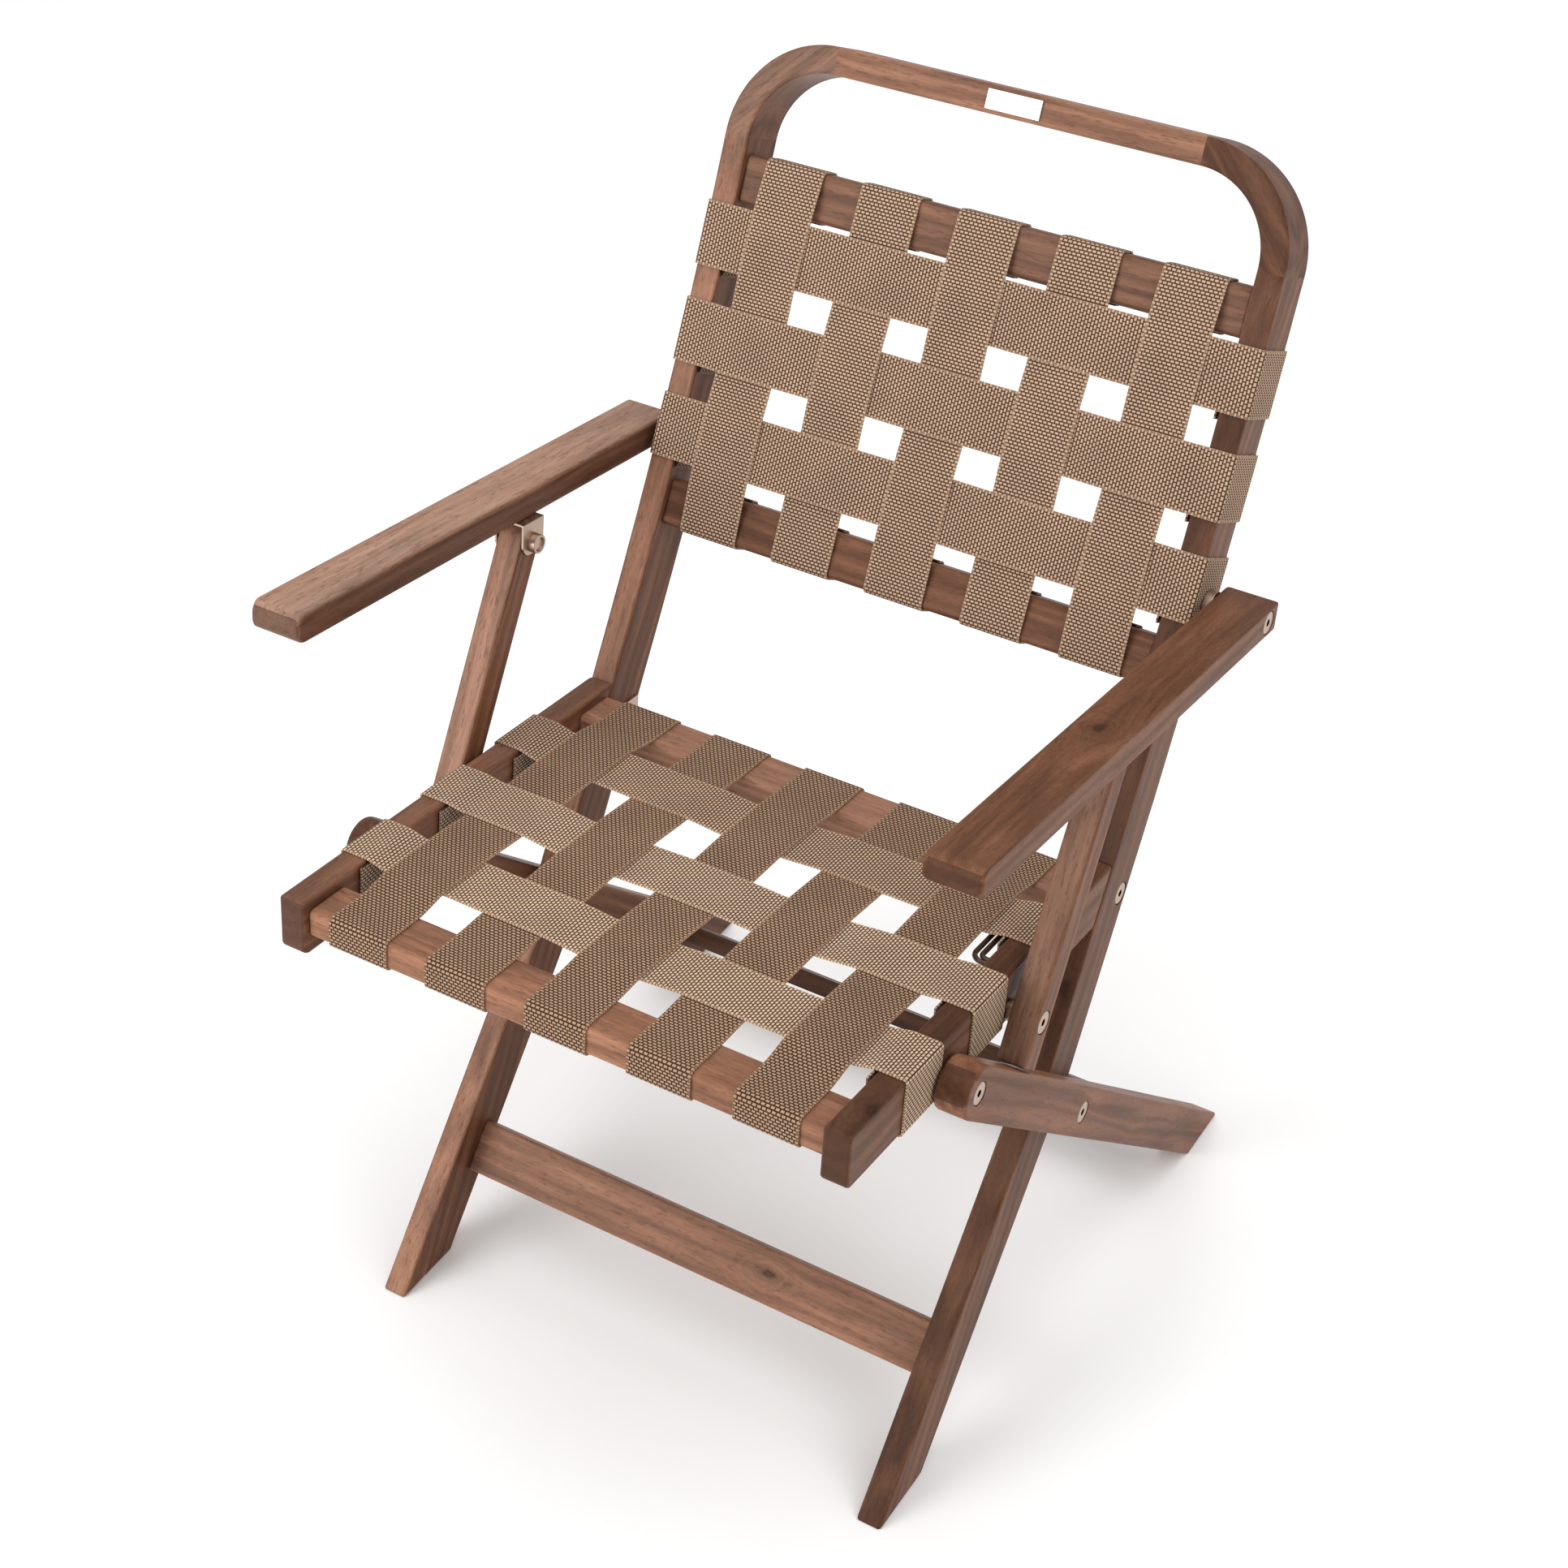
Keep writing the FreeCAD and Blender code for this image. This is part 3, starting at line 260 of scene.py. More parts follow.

# woven outdoor webbing: short floats of twisted yarn in staggered rows, with a painted highlight on top
# and painted shade, dark brown, in the gaps, with a closed edge. The real floats are 3.1 by 2.15 mm, too
# fine to show, so they are drawn a fifth coarser. "weave" is strap space in metres, x across the strap and
# y along it.
webbingLook = {
    "gap": "#402b1f", "ground": "#725642", "yarn": "#a0846d", "crestHighlight": "#c4a890", "middle": 0.6,
    "floatMm": 3.7, "rowMm": 2.6, "gapMm": 0.85, "selvedgeMm": (22.9, 23.5),
    "twistPerMm": 1.3, "patchPerMm": 0.03, "roughness": 0.85, "sheen": 0.03,
}
wovenWebbing, tree = newMaterial("woven polyester webbing")
weave = addNode(tree, "ShaderNodeAttribute", {"attribute_name": "weave"}).outputs["Vector"]
weaveMm = addNode(tree, "ShaderNodeVectorMath", {"operation": "SCALE"}, {"Scale": 1000.0}, {0: weave})
floats = addNode(tree, "ShaderNodeTexBrick", {"offset": 0.5, "offset_frequency": 2, "squash": 1.0},
                 {"Color1": (1, 1, 1, 1), "Color2": (0.72, 0.72, 0.72, 1), "Mortar": (0, 0, 0, 1),
                  "Scale": 1.0, "Mortar Size": webbingLook["gapMm"], "Mortar Smooth": 1.0, "Bias": 0.0,
                  "Brick Width": webbingLook["floatMm"], "Row Height": webbingLook["rowMm"]},
                 {"Vector": weaveMm.outputs[0]})
yarnTwist = addNode(tree, "ShaderNodeTexNoise", None, {"Scale": webbingLook["twistPerMm"], "Detail": 1.0},
                    {"Vector": weaveMm.outputs[0]})
patches = addNode(tree, "ShaderNodeTexNoise", None, {"Scale": webbingLook["patchPerMm"], "Detail": 2.0},
                  {"Vector": weaveMm.outputs[0]})
raised = addNode(tree, "ShaderNodeMath", {"operation": "SUBTRACT"}, {0: 1.0}, {1: floats.outputs["Fac"]})
uneven = addNode(tree, "ShaderNodeMapRange", None,
                 {"From Min": 0.3, "From Max": 0.7, "To Min": 0.9, "To Max": 1.06},
                 {"Value": yarnTwist.outputs["Fac"]})
crown = addNode(tree, "ShaderNodeMath", {"operation": "MULTIPLY"}, None,
                {0: raised.outputs[0], 1: uneven.outputs[0]})
acrossMm = addNode(tree, "ShaderNodeSeparateXYZ", None, None, {0: weaveMm.outputs[0]}).outputs["X"]
fromMiddle = addNode(tree, "ShaderNodeMath", {"operation": "ABSOLUTE"}, None, {0: acrossMm})
selvedge = addNode(tree, "ShaderNodeMapRange", None,
                   {"From Min": webbingLook["selvedgeMm"][0], "From Max": webbingLook["selvedgeMm"][1],
                    "To Min": 0.0, "To Max": 0.5}, {"Value": fromMiddle.outputs[0]})
crown = addNode(tree, "ShaderNodeMath", {"operation": "MAXIMUM"}, None,
                {0: crown.outputs[0], 1: selvedge.outputs[0]})
# relief sets how strongly the painted shade in the gaps and the painted highlight on the crests show; it is
# raised on the seat, where the light grazes the weave
weaveShadeContrast = addNode(tree, "ShaderNodeAttribute", {"attribute_name": "weaveShadeContrast"}).outputs["Fac"]
centred = addNode(tree, "ShaderNodeMath", {"operation": "SUBTRACT"}, {1: webbingLook["middle"]},
                  {0: crown.outputs[0]})
shadeContrasted = addNode(tree, "ShaderNodeMath", {"operation": "MULTIPLY_ADD"}, {2: webbingLook["middle"]},
                   {0: centred.outputs[0], 1: weaveShadeContrast})
# the ramp runs from painted shade in the gaps through the yarn's browns to a painted highlight on the
# crests
cloth = addNode(tree, "ShaderNodeValToRGB", None, None, {"Fac": shadeContrasted.outputs[0]})
setRamp(cloth, [(0.05, linear(webbingLook["gap"])), (0.38, linear(webbingLook["ground"])),
                (0.72, linear(webbingLook["yarn"])), (0.98, linear(webbingLook["crestHighlight"]))])
shade = addNode(tree, "ShaderNodeMapRange", None,
                {"From Min": 0.3, "From Max": 0.7, "To Min": 0.92, "To Max": 1.06},
                {"Value": patches.outputs["Fac"]})
cloth = addNode(tree, "ShaderNodeVectorMath", {"operation": "SCALE"}, None,
                {0: cloth.outputs["Color"], "Scale": shade.outputs[0]})
# lay is painted light and shade: it tints a strap lighter or darker, and more or less saturated, for the
# way its yarn lies to the light
lightTint = addNode(tree, "ShaderNodeAttribute", {"attribute_name": "lightTint"}).outputs["Vector"]
cloth = addNode(tree, "ShaderNodeVectorMath", {"operation": "MULTIPLY"}, None,
                {0: cloth.outputs[0], 1: lightTint})
bump = addNode(tree, "ShaderNodeBump", None, {"Strength": 0.8, "Distance": 0.0006},
               {"Height": crown.outputs[0]})
shader = addNode(tree, "ShaderNodeBsdfPrincipled", None,
                 {"Roughness": webbingLook["roughness"], "Specular IOR Level": 0.12,
                  "Sheen Weight": webbingLook["sheen"], "Sheen Roughness": 0.5},
                 {"Base Color": cloth.outputs[0], "Normal": bump.outputs["Normal"]})
addNode(tree, "ShaderNodeOutputMaterial", None, None, {"Surface": shader.outputs["BSDF"]})

# zinc plated steel, yellow passivated: pale gold, turned, with faint clouding, and painted shade, near
# black, in the sockets
zincLook = {"pale": "#cab6a6", "gold": "#a38a78", "shade": "#241a14", "cloudMm": 4, "roughness": 0.36}
zincSteel, tree = newMaterial("yellow passivated zinc on steel")
place = addNode(tree, "ShaderNodeTexCoord").outputs["Object"]
cloud = addNode(tree, "ShaderNodeTexNoise", None, {"Scale": 1000 / zincLook["cloudMm"], "Detail": 3.0},
                {"Vector": place})
plate = addNode(tree, "ShaderNodeMix", {"data_type": "RGBA"},
                {6: linear(zincLook["gold"]), 7: linear(zincLook["pale"])}, {0: cloud.outputs["Fac"]})
# painted shade: faces inside a socket are coloured near black
socket = addNode(tree, "ShaderNodeAttribute", {"attribute_name": "socket"}).outputs["Fac"]
plate = addNode(tree, "ShaderNodeMix", {"data_type": "RGBA"}, {7: linear(zincLook["shade"])},
                {0: socket, 6: plate.outputs[2]})
rough = addNode(tree, "ShaderNodeMapRange", None,
                {"From Min": 0.3, "From Max": 0.7, "To Min": zincLook["roughness"] - 0.08,
                 "To Max": zincLook["roughness"] + 0.1}, {"Value": cloud.outputs["Fac"]})
shader = addNode(tree, "ShaderNodeBsdfPrincipled", None, {"Metallic": 1.0},
                 {"Base Color": plate.outputs[2], "Roughness": rough.outputs[0]})
addNode(tree, "ShaderNodeOutputMaterial", None, None, {"Surface": shader.outputs["BSDF"]})

# polished aluminium badge: bright, with fine rolled lines along its length
badgeLook = {"bright": "#d6d6d4", "dull": "#a9a9a7", "lineMm": 0.5}
badgeMetal, tree = newMaterial("polished rolled aluminium")
place = addNode(tree, "ShaderNodeTexCoord").outputs["Object"]
rolled = addNode(tree, "ShaderNodeVectorMath", {"operation": "MULTIPLY"},
                 {1: (30, 1000 / badgeLook["lineMm"], 1000 / badgeLook["lineMm"])}, {0: place})
lines = addNode(tree, "ShaderNodeTexNoise", None, {"Scale": 1.0, "Detail": 2.0},
                {"Vector": rolled.outputs[0]})
sheet = addNode(tree, "ShaderNodeMix", {"data_type": "RGBA"},
                {6: linear(badgeLook["dull"]), 7: linear(badgeLook["bright"])}, {0: lines.outputs["Fac"]})
rough = addNode(tree, "ShaderNodeMapRange", None, {"To Min": 0.14, "To Max": 0.3},
                {"Value": lines.outputs["Fac"]})
shader = addNode(tree, "ShaderNodeBsdfPrincipled", None, {"Metallic": 1.0},
                 {"Base Color": sheet.outputs[2], "Roughness": rough.outputs[0]})
addNode(tree, "ShaderNodeOutputMaterial", None, None, {"Surface": shader.outputs["BSDF"]})

# steel wire under dark brown enamel: glossy, slightly uneven where it was dipped
wireLook = {"deep": "#24130c", "brown": "#4a2c1d", "unevenMm": 3}
brownWire, tree = newMaterial("brown enamelled steel wire")
place = addNode(tree, "ShaderNodeTexCoord").outputs["Object"]
dip = addNode(tree, "ShaderNodeTexNoise", None, {"Scale": 1000 / wireLook["unevenMm"]},
              {"Vector": place})
enamel = addNode(tree, "ShaderNodeMix", {"data_type": "RGBA"},
                 {6: linear(wireLook["deep"]), 7: linear(wireLook["brown"])}, {0: dip.outputs["Fac"]})
rough = addNode(tree, "ShaderNodeMapRange", None, {"To Min": 0.16, "To Max": 0.34},
                {"Value": dip.outputs["Fac"]})
shader = addNode(tree, "ShaderNodeBsdfPrincipled", None, {"Specular IOR Level": 0.5},
                 {"Base Color": enamel.outputs[2], "Roughness": rough.outputs[0]})
addNode(tree, "ShaderNodeOutputMaterial", None, None, {"Surface": shader.outputs["BSDF"]})
print("materials ready")

# side view layout of the chair, mm, as in the solids
layout = {
    "footFront": -241.0, "footAngle": 48.0, "kneeHeight": 242.0, "midAngle": 58.4, "midLength": 232.5,
    "backRadius": 2900.0, "backArc": 391.0, "halfDepth": 23.5, "cornerRadius": 81.0,
    "upperRailDrop": 31.0, "lowerRailDrop": 289.0, "railFront": 8.5,
    "seatCorner": (-330.0, 451.4), "seatTilt": 6.1, "armTilt": 8.0,
    "stileInner": 210.0, "stileOuter": 231.0, "stileGrain": 57.0,
    "crossing": (-29.361, 242.522), "legBolt": (-207.226, 405.091), "strutBolt": (-111.770, 394.890),
    "armBolt": (174.703, 571.078), "bracketBolt": (-8.593, 567.402), "restBolt": (71.103, 370.318),
}


def polar(angle, distance=1.0):
    return (distance * math.cos(math.radians(angle)), distance * math.sin(math.radians(angle)))


def linePoint(start, angle, along, across=0.0):
    one = polar(angle, along)
    two = polar(angle + 90, across)
    return (start[0] + one[0] + two[0], start[1] + one[1] + two[1])


def heading(start, end):
    return math.degrees(math.atan2(end[1] - start[1], end[0] - start[0]))


kneeBack = layout["kneeHeight"] / math.tan(math.radians(layout["footAngle"])) + layout["footFront"]
knee = (kneeBack, layout["kneeHeight"])
jointDistance = layout["midLength"] + layout["backArc"]
bowStart = linePoint(knee, layout["midAngle"], layout["midLength"])
bowCentre = linePoint(bowStart, layout["midAngle"], 0, layout["backRadius"])


def stileAngle(distance):
    bowed = max(0.0, distance - layout["midLength"])
    return layout["midAngle"] + math.degrees(bowed / layout["backRadius"])


def stilePoint(distance, front=0.0):
    if distance <= layout["midLength"]:
        return linePoint(knee, layout["midAngle"], distance, front)
    spoke = polar(stileAngle(distance) - 90, layout["backRadius"] - front)
    return (bowCentre[0] + spoke[0], bowCentre[1] + spoke[1])


def seatPoint(along, down=0.0):
    return linePoint(layout["seatCorner"], -layout["seatTilt"], along, -down)


legAngle = heading(layout["legBolt"], layout["crossing"])
strutAngle = heading(layout["strutBolt"], layout["bracketBolt"])
topAngle = stileAngle(jointDistance)

# boards: a merged copy of each wooden solid with its edges eased, and its own run of grain
boardFinish = {
    "easedMm": 2.0, "segments": 2, "smoothBelow": 10.5, "arcStepMm": 3.0, "endGrainFrom": 0.8,
    "boreMm": 0.3, "boreReachMm": 9.6, "runOnMm": 100.0, "runOnSlope": 0.02,
}
meshCare = {"mergeReach": 0.00001, "flatDegrees": 0.2, "sharpDegrees": 34, "onPlane": 0.0002}
boltNames = ("crossing", "legBolt", "strutBolt", "armBolt", "bracketBolt", "restBolt")
boltCentres = [layout[name] for name in boltNames]


def sideways(angle):
    # grain along a line in the side view
    along = polar(angle)
    return Vector((0, *along)), Vector((0, -along[1], along[0])), Vector((1, 0, 0))


def crossways(angle):
    # grain across the chair, the board's height along angle
    along = polar(angle)
    return Vector((1, 0, 0)), Vector((0, *along)), Vector((0, -along[1], along[0]))


def slanting(side):
    # grain on the slant of a corner block
    up = Vector((0, *polar(topAngle)))
    along = (Vector((-side, 0, 0)) + up).normalized()
    across = (Vector((side, 0, 0)) + up).normalized()
    return along, across, along.cross(across)


lowRailAngle = stileAngle(jointDistance - layout["lowerRailDrop"])
highRailAngle = stileAngle(jointDistance - layout["upperRailDrop"])
alongStile = sideways(layout["stileGrain"])
alongSeat = sideways(-layout["seatTilt"])
acrossSeat = crossways(90 - layout["seatTilt"])
alongArm = sideways(180 - layout["armTilt"])
# tone and sideStainAndLight scale a board's colour, partly its own stain and partly painted light and
# shade:
# lighter on the left, where the light falls from the front, and darker in shade under the seat;
# bleach is part pale stain and part painted sheen; zero or the place of a knot, mm, shifts its grain
boards = {
    "left_stile": {"body": "back_frame", "grain": alongStile,
        "stainAndLight": 1.65, "sideStainAndLight": 1.0, "bleachAndSheen": 0.3, "zero": (3.1, 0.4, 0.2)},
    "right_stile": {"body": "back_frame", "grain": alongStile,
        "stainAndLight": 0.66, "sideStainAndLight": 0.96, "knot": (222, 1, 325)},
    "left_corner": {"body": "back_frame", "grain": slanting(-1),
        "stainAndLight": 1.15, "bleachAndSheen": 0.4, "zero": (2.2, 0.3, 1.1)},
    "right_corner": {"body": "back_frame", "grain": slanting(1),
        "stainAndLight": 0.82, "zero": (4.2, 1.3, 0.7)},
    "top_rail": {"body": "back_frame", "grain": crossways(topAngle),
        "stainAndLight": 1.6, "bleachAndSheen": 0.25, "zero": (5.3, 0.2, 0.9)},
    "upper_back_rail": {"body": "back_frame", "grain": crossways(highRailAngle),
        "stainAndLight": 1.1, "bleachAndSheen": 0.2, "zero": (6.1, 0.8, 0.3)},
    "lower_back_rail": {"body": "back_frame", "grain": crossways(lowRailAngle),
        "stainAndLight": 1.05, "zero": (7.4, 0.5, 0.6)},
    "front_stretcher": {"body": "back_frame", "grain": crossways(layout["footAngle"]),
        "stainAndLight": 1.65, "bleachAndSheen": 0.3, "knot": (67, -164, 84)},
    "left_rear_leg": {"body": "leg_frame", "grain": sideways(legAngle),
        "stainAndLight": 1.0, "zero": (2.9, 1.9, 0.1)},
    "right_rear_leg": {"body": "leg_frame", "grain": sideways(legAngle),
        "stainAndLight": 1.6, "sideStainAndLight": 1.25, "zero": (3.8, 2.4, 0.8)},
    # painted shade: the rear stretcher is darkened because it lies in shade under the seat
    "rear_stretcher": {"body": "leg_frame", "grain": crossways(legAngle),
        "stainAndLight": 0.4, "zero": (4.9, 2.7, 0.5)},
    "left_side_rail": {"body": "seat_frame", "grain": alongSeat,
        "stainAndLight": 1.1, "bleachAndSheen": 0.15, "zero": (5.7, 3.3, 0.9)},
    "right_side_rail": {"body": "seat_frame", "grain": alongSeat,
        "stainAndLight": 0.66, "sideStainAndLight": 0.95, "knot": (226, -297, 448)},
    "front_rail": {"body": "seat_frame", "grain": acrossSeat,
        "stainAndLight": 1.95, "bleachAndSheen": 0.2, "zero": (7.9, 4.1, 0.4)},
    "rear_rail": {"body": "seat_frame", "grain": acrossSeat,
        "stainAndLight": 1.65, "bleachAndSheen": 0.35, "zero": (8.8, 4.6, 0.7)},
    "left_arm": {"body": "left_arm_set", "grain": alongArm,
        "stainAndLight": 1.7, "sideStainAndLight": 0.85, "bleachAndSheen": 0.8, "easedMm": 3.5, "segments": 4,
        "zero": (9.5, 5.2, 0.1)},
    "right_arm": {"body": "right_arm_set", "grain": alongArm,
        "stainAndLight": 1.1, "sideStainAndLight": 1.2, "easedMm": 3.5, "segments": 4, "knot": (258, -61, 615)},
    "left_strut": {"body": "left_strut_set", "grain": sideways(strutAngle),
        "stainAndLight": 2.1, "sideStainAndLight": 1.2, "bleachAndSheen": 0.6, "zero": (1.2, 5.8, 0.6)},
    "right_strut": {"body": "right_strut_set", "grain": sideways(strutAngle),
        "stainAndLight": 1.1, "sideStainAndLight": 1.32, "bleachAndSheen": 0.3, "zero": (2.5, 6.3, 0.3)},
}
cornerCentre = layout["stileOuter"] - layout["cornerRadius"]
# the glued seams of the bent frame are left sharp
seamPlanes = [(Vector((0, *stilePoint(jointDistance))) / 1000, Vector((0, *polar(topAngle))))]
for side in (-1, 1):
    seamPlanes.append((Vector((side * cornerCentre / 1000, 0, 0)), Vector((1, 0, 0))))
framed = ("left_stile", "right_stile", "left_corner", "right_corner", "top_rail")


def selectSharp():
    bpy.ops.mesh.select_mode(type="EDGE")
    bpy.ops.mesh.select_all(action="DESELECT")
    bpy.ops.mesh.edges_select_sharp(sharpness=math.radians(meshCare["sharpDegrees"]))
    bpy.ops.object.mode_set(mode="OBJECT")


def mergedCopy(node):
    # the solid's own mesh stays as it is; the copy is welded and its flat faces joined
    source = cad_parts[node]
    copy = bpy.data.objects.new(node + "Board", source.data.copy())
    bpy.context.collection.objects.link(copy)
    pick(copy)
    bpy.ops.object.mode_set(mode="EDIT")
    bpy.ops.mesh.select_all(action="SELECT")
    bpy.ops.mesh.remove_doubles(threshold=meshCare["mergeReach"])
    bpy.ops.mesh.dissolve_limited(angle_limit=math.radians(meshCare["flatDegrees"]))
    selectSharp()
    return copy


def easeEdges(obj, widthMm, segments, smoothBelow, weightOf):
    mesh = obj.data
    weights = mesh.attributes.new("bevel_weight_edge", "FLOAT", "EDGE")
    for edge in mesh.edges:
        if edge.select:
            ends = [mesh.vertices[i].co for i in edge.vertices]
            weights.data[edge.index].value = weightOf(ends)
    ease = obj.modifiers.new("eased", "BEVEL")
    ease.limit_method = "WEIGHT"
    ease.width = widthMm / 1000
    ease.segments = segments
    ease.use_clamp_overlap = False
    ease.loop_slide = False
    ease.miter_outer = "MITER_ARC"
    pick(obj)
    bpy.ops.object.modifier_apply(modifier=ease.name)
    # below the turn of the eased edges, so that flat faces shade flat
    bpy.ops.object.shade_smooth_by_angle(angle=math.radians(smoothBelow))


def fromBolt(point, bolt):
    return math.hypot(point.y * 1000 - bolt[0], point.z * 1000 - bolt[1])


def boardWeight(node, mesh, easedMm, along):
    # gives the function that sets how wide each edge of a board is eased
    boreMm = boardFinish["boreMm"]
    outerFace = max(abs(v.co.x) for v in mesh.vertices) - meshCare["onPlane"]
    # recesses of sunk bolt heads in the outer face, with their radii
    recesses = []
    for bolt in boltCentres:
        rim = [fromBolt(v.co, bolt) for v in mesh.vertices if abs(v.co.x) > outerFace]
        rim = [radius for radius in rim if radius < boardFinish["boreReachMm"]]
        if rim:
            recesses.append((Vector((bolt[0], bolt[1])) / 1000, max(rim)))

    def besideRecess(ends):
        # the thin wall beside a recess keeps a narrower edge, and so does the edge that runs on from it
        start, end = [Vector((point.y, point.z)) for point in ends]
        widthMm = easedMm
        for bolt, radius in recesses:
            lengthMm = (end - start).length * 1000
            share = (bolt - start).dot(end - start) / (end - start).length_squared
            runOn = min(boardFinish["runOnMm"], max(share - 1.0, -share, 0.0) * lengthMm)
            nearest = start.lerp(end, min(1.0 + runOn / lengthMm, max(-runOn / lengthMm, share)))
            wallMm = (bolt - nearest).length * 1000 - radius - boardFinish["runOnSlope"] * runOn
            widthMm = min(widthMm, max(wallMm - 2 * boreMm, boreMm))
        return widthMm

    def isBore(ends):
        reachMm = boardFinish["boreReachMm"]
        return any(all(fromBolt(end, bolt) < reachMm for end in ends) for bolt in boltCentres)

    def isOuter(ends):
        return all(abs(end.x) > outerFace for end in ends)

    sharpEdges = [[mesh.vertices[i].co for i in edge.vertices] for edge in mesh.edges if edge.select]
    outerEdges = [ends for ends in sharpEdges if isOuter(ends) and not isBore(ends)]
    narrowMm = min([besideRecess(ends) for ends in outerEdges], default=easedMm)

    def weightOf(ends):
        if node in framed:
            for point, normal in seamPlanes:
                if all(abs((end - point).dot(normal)) < meshCare["onPlane"] for end in ends):
                    return 0.0
        if isBore(ends):
            return boreMm / easedMm
        if recesses and isOuter(ends):
            step = ends[1] - ends[0]
            if step.length * 1000 > boardFinish["arcStepMm"]:
                return besideRecess(ends) / easedMm
            # round a board's end, from the narrow edge to the full one
            turned = 1 - step.normalized().dot(along) ** 2
            return (narrowMm + (easedMm - narrowMm) * turned) / easedMm
        return 1.0
    return weightOf


def writeGrain(obj, board):
    mesh = obj.data
    places = np.empty(len(mesh.vertices) * 3)
    mesh.vertices.foreach_get("co", places)
    places = places.reshape(-1, 3)
    axes = np.array([list(axis) for axis in board["grain"]])
    zero = np.array(board["zero"]) if "zero" in board else -axes @ np.array(board["knot"]) / 1000
    run = places @ axes.T + zero
    mesh.attributes.new("grain", "FLOAT_VECTOR", "POINT").data.foreach_set("vector", run.ravel())
    normals = np.empty(len(mesh.polygons) * 3)
    mesh.polygons.foreach_get("normal", normals)
    normals = normals.reshape(-1, 3)
    # faces that look sideways take sideStainAndLight and no bleach: partly a difference in stain, partly
    # painted light and shade for the way light falls on them
    share = np.abs(normals[:, 0])
    stainsAndLight = board["stainAndLight"] * (1 - share) + board.get("sideStainAndLight", board["stainAndLight"]) * share
    mesh.attributes.new("stainAndLight", "FLOAT", "FACE").data.foreach_set("value", stainsAndLight)
    bleachedAndSheen = board.get("bleachAndSheen", 0.0) * (1 - share)
    mesh.attributes.new("bleachAndSheen", "FLOAT", "FACE").data.foreach_set("value", bleachedAndSheen)
    ends = np.abs(normals @ axes[0]) > boardFinish["endGrainFrom"]
    mesh.attributes.new("endGrain", "FLOAT", "FACE").data.foreach_set("value", ends.astype(float))


for node, board in boards.items():
    piece = mergedCopy(node)
    easedMm = board.get("easedMm", boardFinish["easedMm"])
    easeEdges(piece, easedMm, board.get("segments", boardFinish["segments"]), boardFinish["smoothBelow"],
              boardWeight(node, piece.data, easedMm, board["grain"][0]))
    writeGrain(piece, board)
    finishPiece(piece, node + "Board", board["body"], oiledAcacia)
    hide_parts(node)
print("boards ready:", len(boards))

# steel: merged copies of the bolts, spacers and plates with their rims broken
steelFinish = {
    "rimMm": 0.4, "badgeRimMm": 0.5, "segments": 2, "smoothBelow": 20, "wireSmoothBelow": 40,
    "socketMm": 3.05, "headRimMm": 2.0, "sunkMm": 1.8, "endReach": 0.0001,
}
steel = {
    "crossing_bolts": "back_frame", "crossing_washers": "back_frame", "arm_bolts": "back_frame",
    "arm_spacers": "back_frame", "seat_rests": "back_frame", "rest_bolts": "back_frame",
    "leg_bolts": "seat_frame", "leg_washers": "seat_frame", "strut_bosses": "seat_frame",
    "left_strut_bracket": "left_arm_set", "left_bracket_bolt": "left_arm_set",
    "right_strut_bracket": "right_arm_set", "right_bracket_bolt": "right_arm_set",
    "left_strut_bolt": "left_strut_set", "right_strut_bolt": "right_strut_set",
}


def markSockets(mesh):
    # faces wholly inside a bolt's socket, which are given painted shade
    near = [min(fromBolt(v.co, bolt) for bolt in boltCentres) for v in mesh.vertices]
    socketMm = steelFinish["socketMm"]
    inside = [float(all(near[i] < socketMm for i in face.vertices)) for face in mesh.polygons]
    mesh.attributes.new("socket", "FLOAT", "FACE").data.foreach_set("value", inside)


def sinkSocket(obj, inward):
    # a socket in the end of a bracket's bolt that looks into the chair
    mesh = obj.data
    reach = max(v.co.x * inward for v in mesh.vertices)
    mesh.vertices.foreach_set("select", [False] * len(mesh.vertices))
    mesh.edges.foreach_set("select", [False] * len(mesh.edges))
    for face in mesh.polygons:
        face.select = face.center.x * inward > reach - steelFinish["endReach"]
    bpy.ops.object.mode_set(mode="EDIT")
    bpy.ops.mesh.select_mode(type="FACE")
    bpy.ops.mesh.inset(thickness=steelFinish["headRimMm"] / 1000, depth=0)
    bpy.ops.mesh.extrude_region_move(
        TRANSFORM_OT_translate={"value": (-inward * steelFinish["sunkMm"] / 1000, 0, 0)})
    selectSharp()


def breakRims(obj, widthMm):
    easeEdges(obj, widthMm, steelFinish["segments"], steelFinish["smoothBelow"], lambda ends: 1.0)


for node, body in steel.items():
    piece = mergedCopy(node)
    if node.endswith("bracket_bolt"):
        sinkSocket(piece, 1 if node.startswith("left") else -1)
    breakRims(piece, steelFinish["rimMm"])
    markSockets(piece.data)
    finishPiece(piece, node + "Steel", body, zincSteel)
    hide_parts(node)

badge = mergedCopy("badge_plate")
breakRims(badge, steelFinish["badgeRimMm"])
finishPiece(badge, "blankBadge", "back_frame", badgeMetal)
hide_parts("badge_plate")

# hook: a hairpin of wire along the inside of the right rail, both ends turned into the wood
hookShape = {
    "wireMm": 2.0, "sides": 14, "downMm": 8.0, "buriedMm": 3.0, "outerRun": 195.0, "innerRun": 200.4,
    "outerBendMm": 10.0, "innerBendMm": 5.0, "bendStart": 239.0, "end": 290.0,
}
seatAlong = Vector((0, *polar(-layout["seatTilt"])))
seatUp = Vector((0, *polar(90 - layout["seatTilt"])))


def hookSpot(across, along):
    return Vector((across, *seatPoint(along, hookShape["downMm"]))) / 1000


def drawWire(shift):
    bpy.ops.mesh.extrude_region_move(TRANSFORM_OT_translate={"value": shift})


